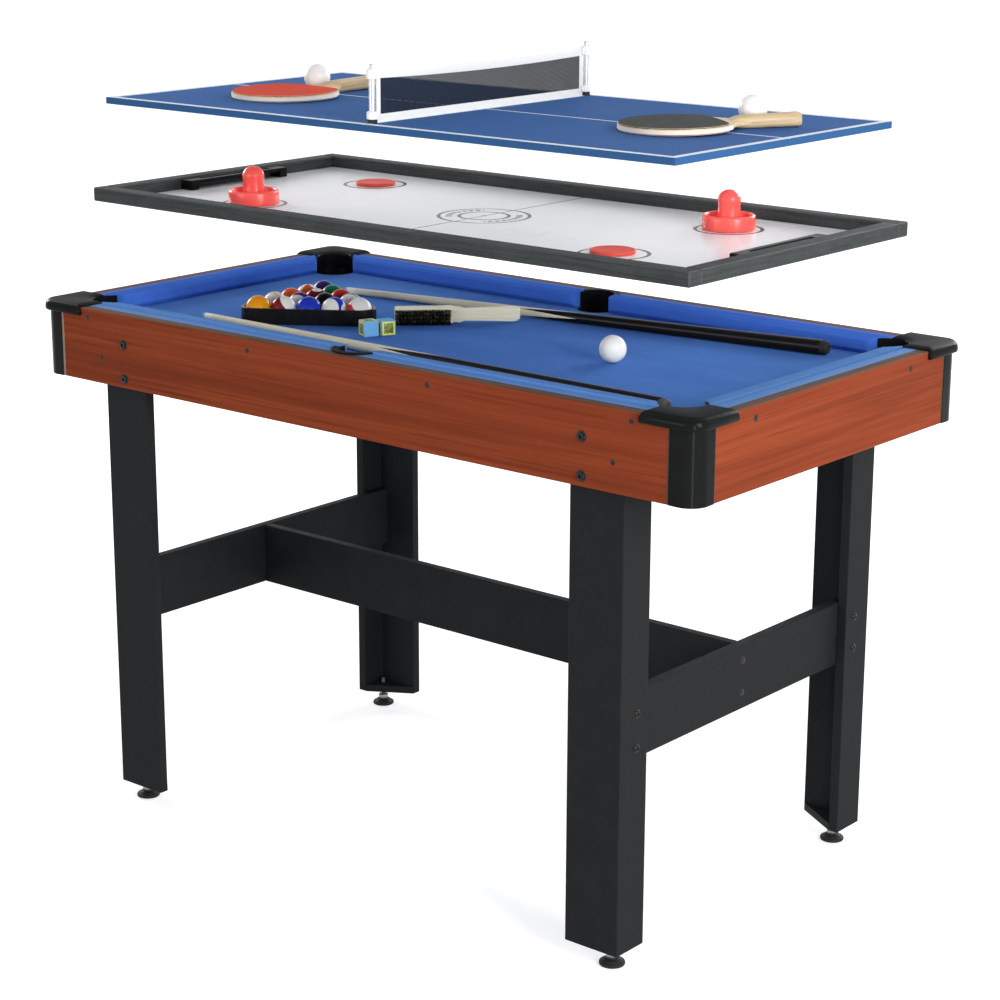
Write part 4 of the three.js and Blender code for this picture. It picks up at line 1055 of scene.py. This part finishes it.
def net():
    """Woven mesh between two tapes. The top tape sags between the posts."""
    tape = Shader("net_tape", (238, 238, 236), 0.7, Sheen_Weight=0.2)
    weave = tape.wave(900.0, 0.5, 1.0, "Z")
    tape.set(Base_Color=tape.mix(weave, (224, 224, 222), (244, 244, 242)),
             Normal=tape.bump(weave, 0.25, 0.0003))
    cord = flecked("net_cord", (22, 26, 32), 0.8, (900.0,), (16, 20, 26), (34, 40, 48),
                   Specular_IOR_Level=0.15)
    reach, mesh_reach, sag = 228.7, 220.7, 4.2
    at = (0, 0, TENNIS_SEAT)

    def top(y):
        return 72 - sag * (1 - (y / reach) ** 2)

    def across(half, count):
        return [-half + 2 * half * k / count for k in range(count + 1)]

    bm = bmesh.new()
    for y in across(mesh_reach, 240):
        box_into(bm, (-0.3, y - 0.42, 6), (0.3, y + 0.42, top(y) - 4))
    rows = 27
    for r in range(rows):
        part = r / (rows - 1)
        ribbon(bm, [(y, 10.5 + (top(y) - 22.0) * part) for y in across(reach - 2, 24)], 0.34, 0.26)
    finish_mesh("net_mesh", bm, [cord], "net_set", 0, at, stands_for=("tennis_net",))
    bm = bmesh.new()
    line = across(reach, 40)
    ribbon(bm, [(y, top(y) - 6) for y in line], 6, 0.6, 0.25)
    ribbon(bm, [(y, 5.5) for y in line], 5.5, 0.6, 0.25)
    for sy in (-1, 1):
        low, high = sorted((sy * reach, sy * (reach - 8)))
        rounded_box(bm, (-0.75, low, 1), (0.75, high, 71.5), 0.5)
    finish_mesh("net_tapes", bm, [tape], "net_set", 40, at)


net()


# Paddles, drawn about the blade's middle with the handle along +X -----------

def grain_wood(name, light, dark):
    s = Shader(name, light, 0.45)
    grain = s.noise((9.0, 240.0, 240.0), 5.0, 0.65, 0.6)
    s.set(Base_Color=s.ramp(grain, (0.3, dark), (0.6, light), (0.8, shade(light, 1, 12))),
          Normal=s.bump(grain, 0.12, 0.0004))
    return s


def rubber_sheet(name, tone):
    s = Shader(name, tone, 0.62, Specular_IOR_Level=0.02)
    cloud = s.noise(30.0, 4.0, 0.6)
    s.set(Base_Color=s.mix(cloud, shade(tone, 0.88), shade(tone, 1.08, 3)),
          Roughness=s.step(cloud, 0.3, 0.7, 0.56, 0.7),
          Normal=s.bump(s.cells(900.0), 0.12, 0.0003))
    return s


ply = grain_wood("paddle_ply", (226, 206, 166), (196, 170, 124))
grip_wood = grain_wood("paddle_grip", (214, 190, 150), (176, 146, 102))
red_rubber = rubber_sheet("red_rubber", (214, 78, 58))
black_rubber = rubber_sheet("black_rubber", (66, 68, 66))
tape_white = moulded("edge_tape", 0.5, (238, 234, 228), 0.05)


def grown(points, factor):
    return [(x * factor, y * factor) for x, y in points]


def paddle(name, x, y, turn, upper, lower):
    """A paddle that lies on its blade's edge and its handle's end, with the rubber upper on top."""
    bm = bmesh.new()
    angles = [math.radians(34 + (360 - 68) * k / 96) for k in range(97)]
    blade = [(78 * math.cos(a), 81 * math.sin(a)) for a in angles]
    x0, y0 = blade[0]
    neck = []
    for t in (k / 12 for k in range(1, 12)):
        start, bend, end = (1 - t) ** 2, 2 * t * (1 - t), t * t
        neck.append((start * x0 + bend * 80 + end * 106, start * y0 + bend * 15 + end * 12))
    outline = blade + [(px, -py) for px, py in neck] + [(106, -12), (106, 12)] + neck[::-1]
    prism_into(bm, outline, -2.9, 2.9, edge=0.5)
    # a rubber on each side, with a bulging lower edge before the handle
    seat = 58.0
    sheet = grown([p for p in blade if p[0] < seat], 0.985)
    top = sheet[0][1]
    for t in (2 * k / 12 - 1 for k in range(1, 12)):
        sheet.append((seat + 3.5 * (1 - t * t), top * t))
    for material, z0, z1 in ((1, 2.95, 4.95), (2, -4.95, -2.95)):
        prism_into(bm, sheet, z0, z1, material, 0.45)
    prism_into(bm, grown(blade, 1.009) + grown(blade, 0.99)[::-1], -3.4, 2.2, 4, 0.3)
    # two rounded handle scales over the core: place along it, half width and half height
    rings = []
    for px, wide, high in ((76, 8, 3.2), (80, 10.5, 6.0), (88, 12.2, 8.2), (105, 12.6, 9.2),
                           (140, 12.4, 9.3), (165, 13.2, 9.8), (174, 13.5, 10.0), (176, 13.0, 9.4)):
        ring = [[math.copysign(abs(v) ** 0.62, v) for v in p] for p in polygon(1, 32)]
        rings.append([(px, wide * c, high * s) for c, s in ring])
    skin(bm, rings, 3)
    lean = math.atan2(5.0, 254.0)
    lift = 78 * math.sin(lean) + 5 * math.cos(lean)
    rotate = turned(turn, "Z") @ Matrix.Rotation(-lean, 4, "Y")
    finish_mesh(name + "_shape", bm, [ply, upper, lower, grip_wood, tape_white], name, 35,
                (x, y, TENNIS_SEAT + lift), rotate, (name,))


paddle("paddle_red", -318, -83, 87, red_rubber, black_rubber)
paddle("paddle_black", 356, -24, 55, black_rubber, red_rubber)

for side, _ in ENDS:
    name = f"tennis_ball_{side}"
    s = Shader(f"celluloid_{side}", (246, 246, 244), 0.35, Subsurface_Weight=0.1, Subsurface_Scale=0.01)
    shell = s.mix(s.noise(80.0, 3.0), (238, 238, 236), (248, 248, 247))
    seam = s.band(s.split()[1], 0.0, 0.0001, 0.0004)
    s.set(Base_Color=s.mix(seam, shell, (214, 214, 212)), Normal=s.bump(s.noise(900.0), 0.06, 0.0002))
    ball(name + "_shape", name, centre(name), 20, s, stands_for=(name,))
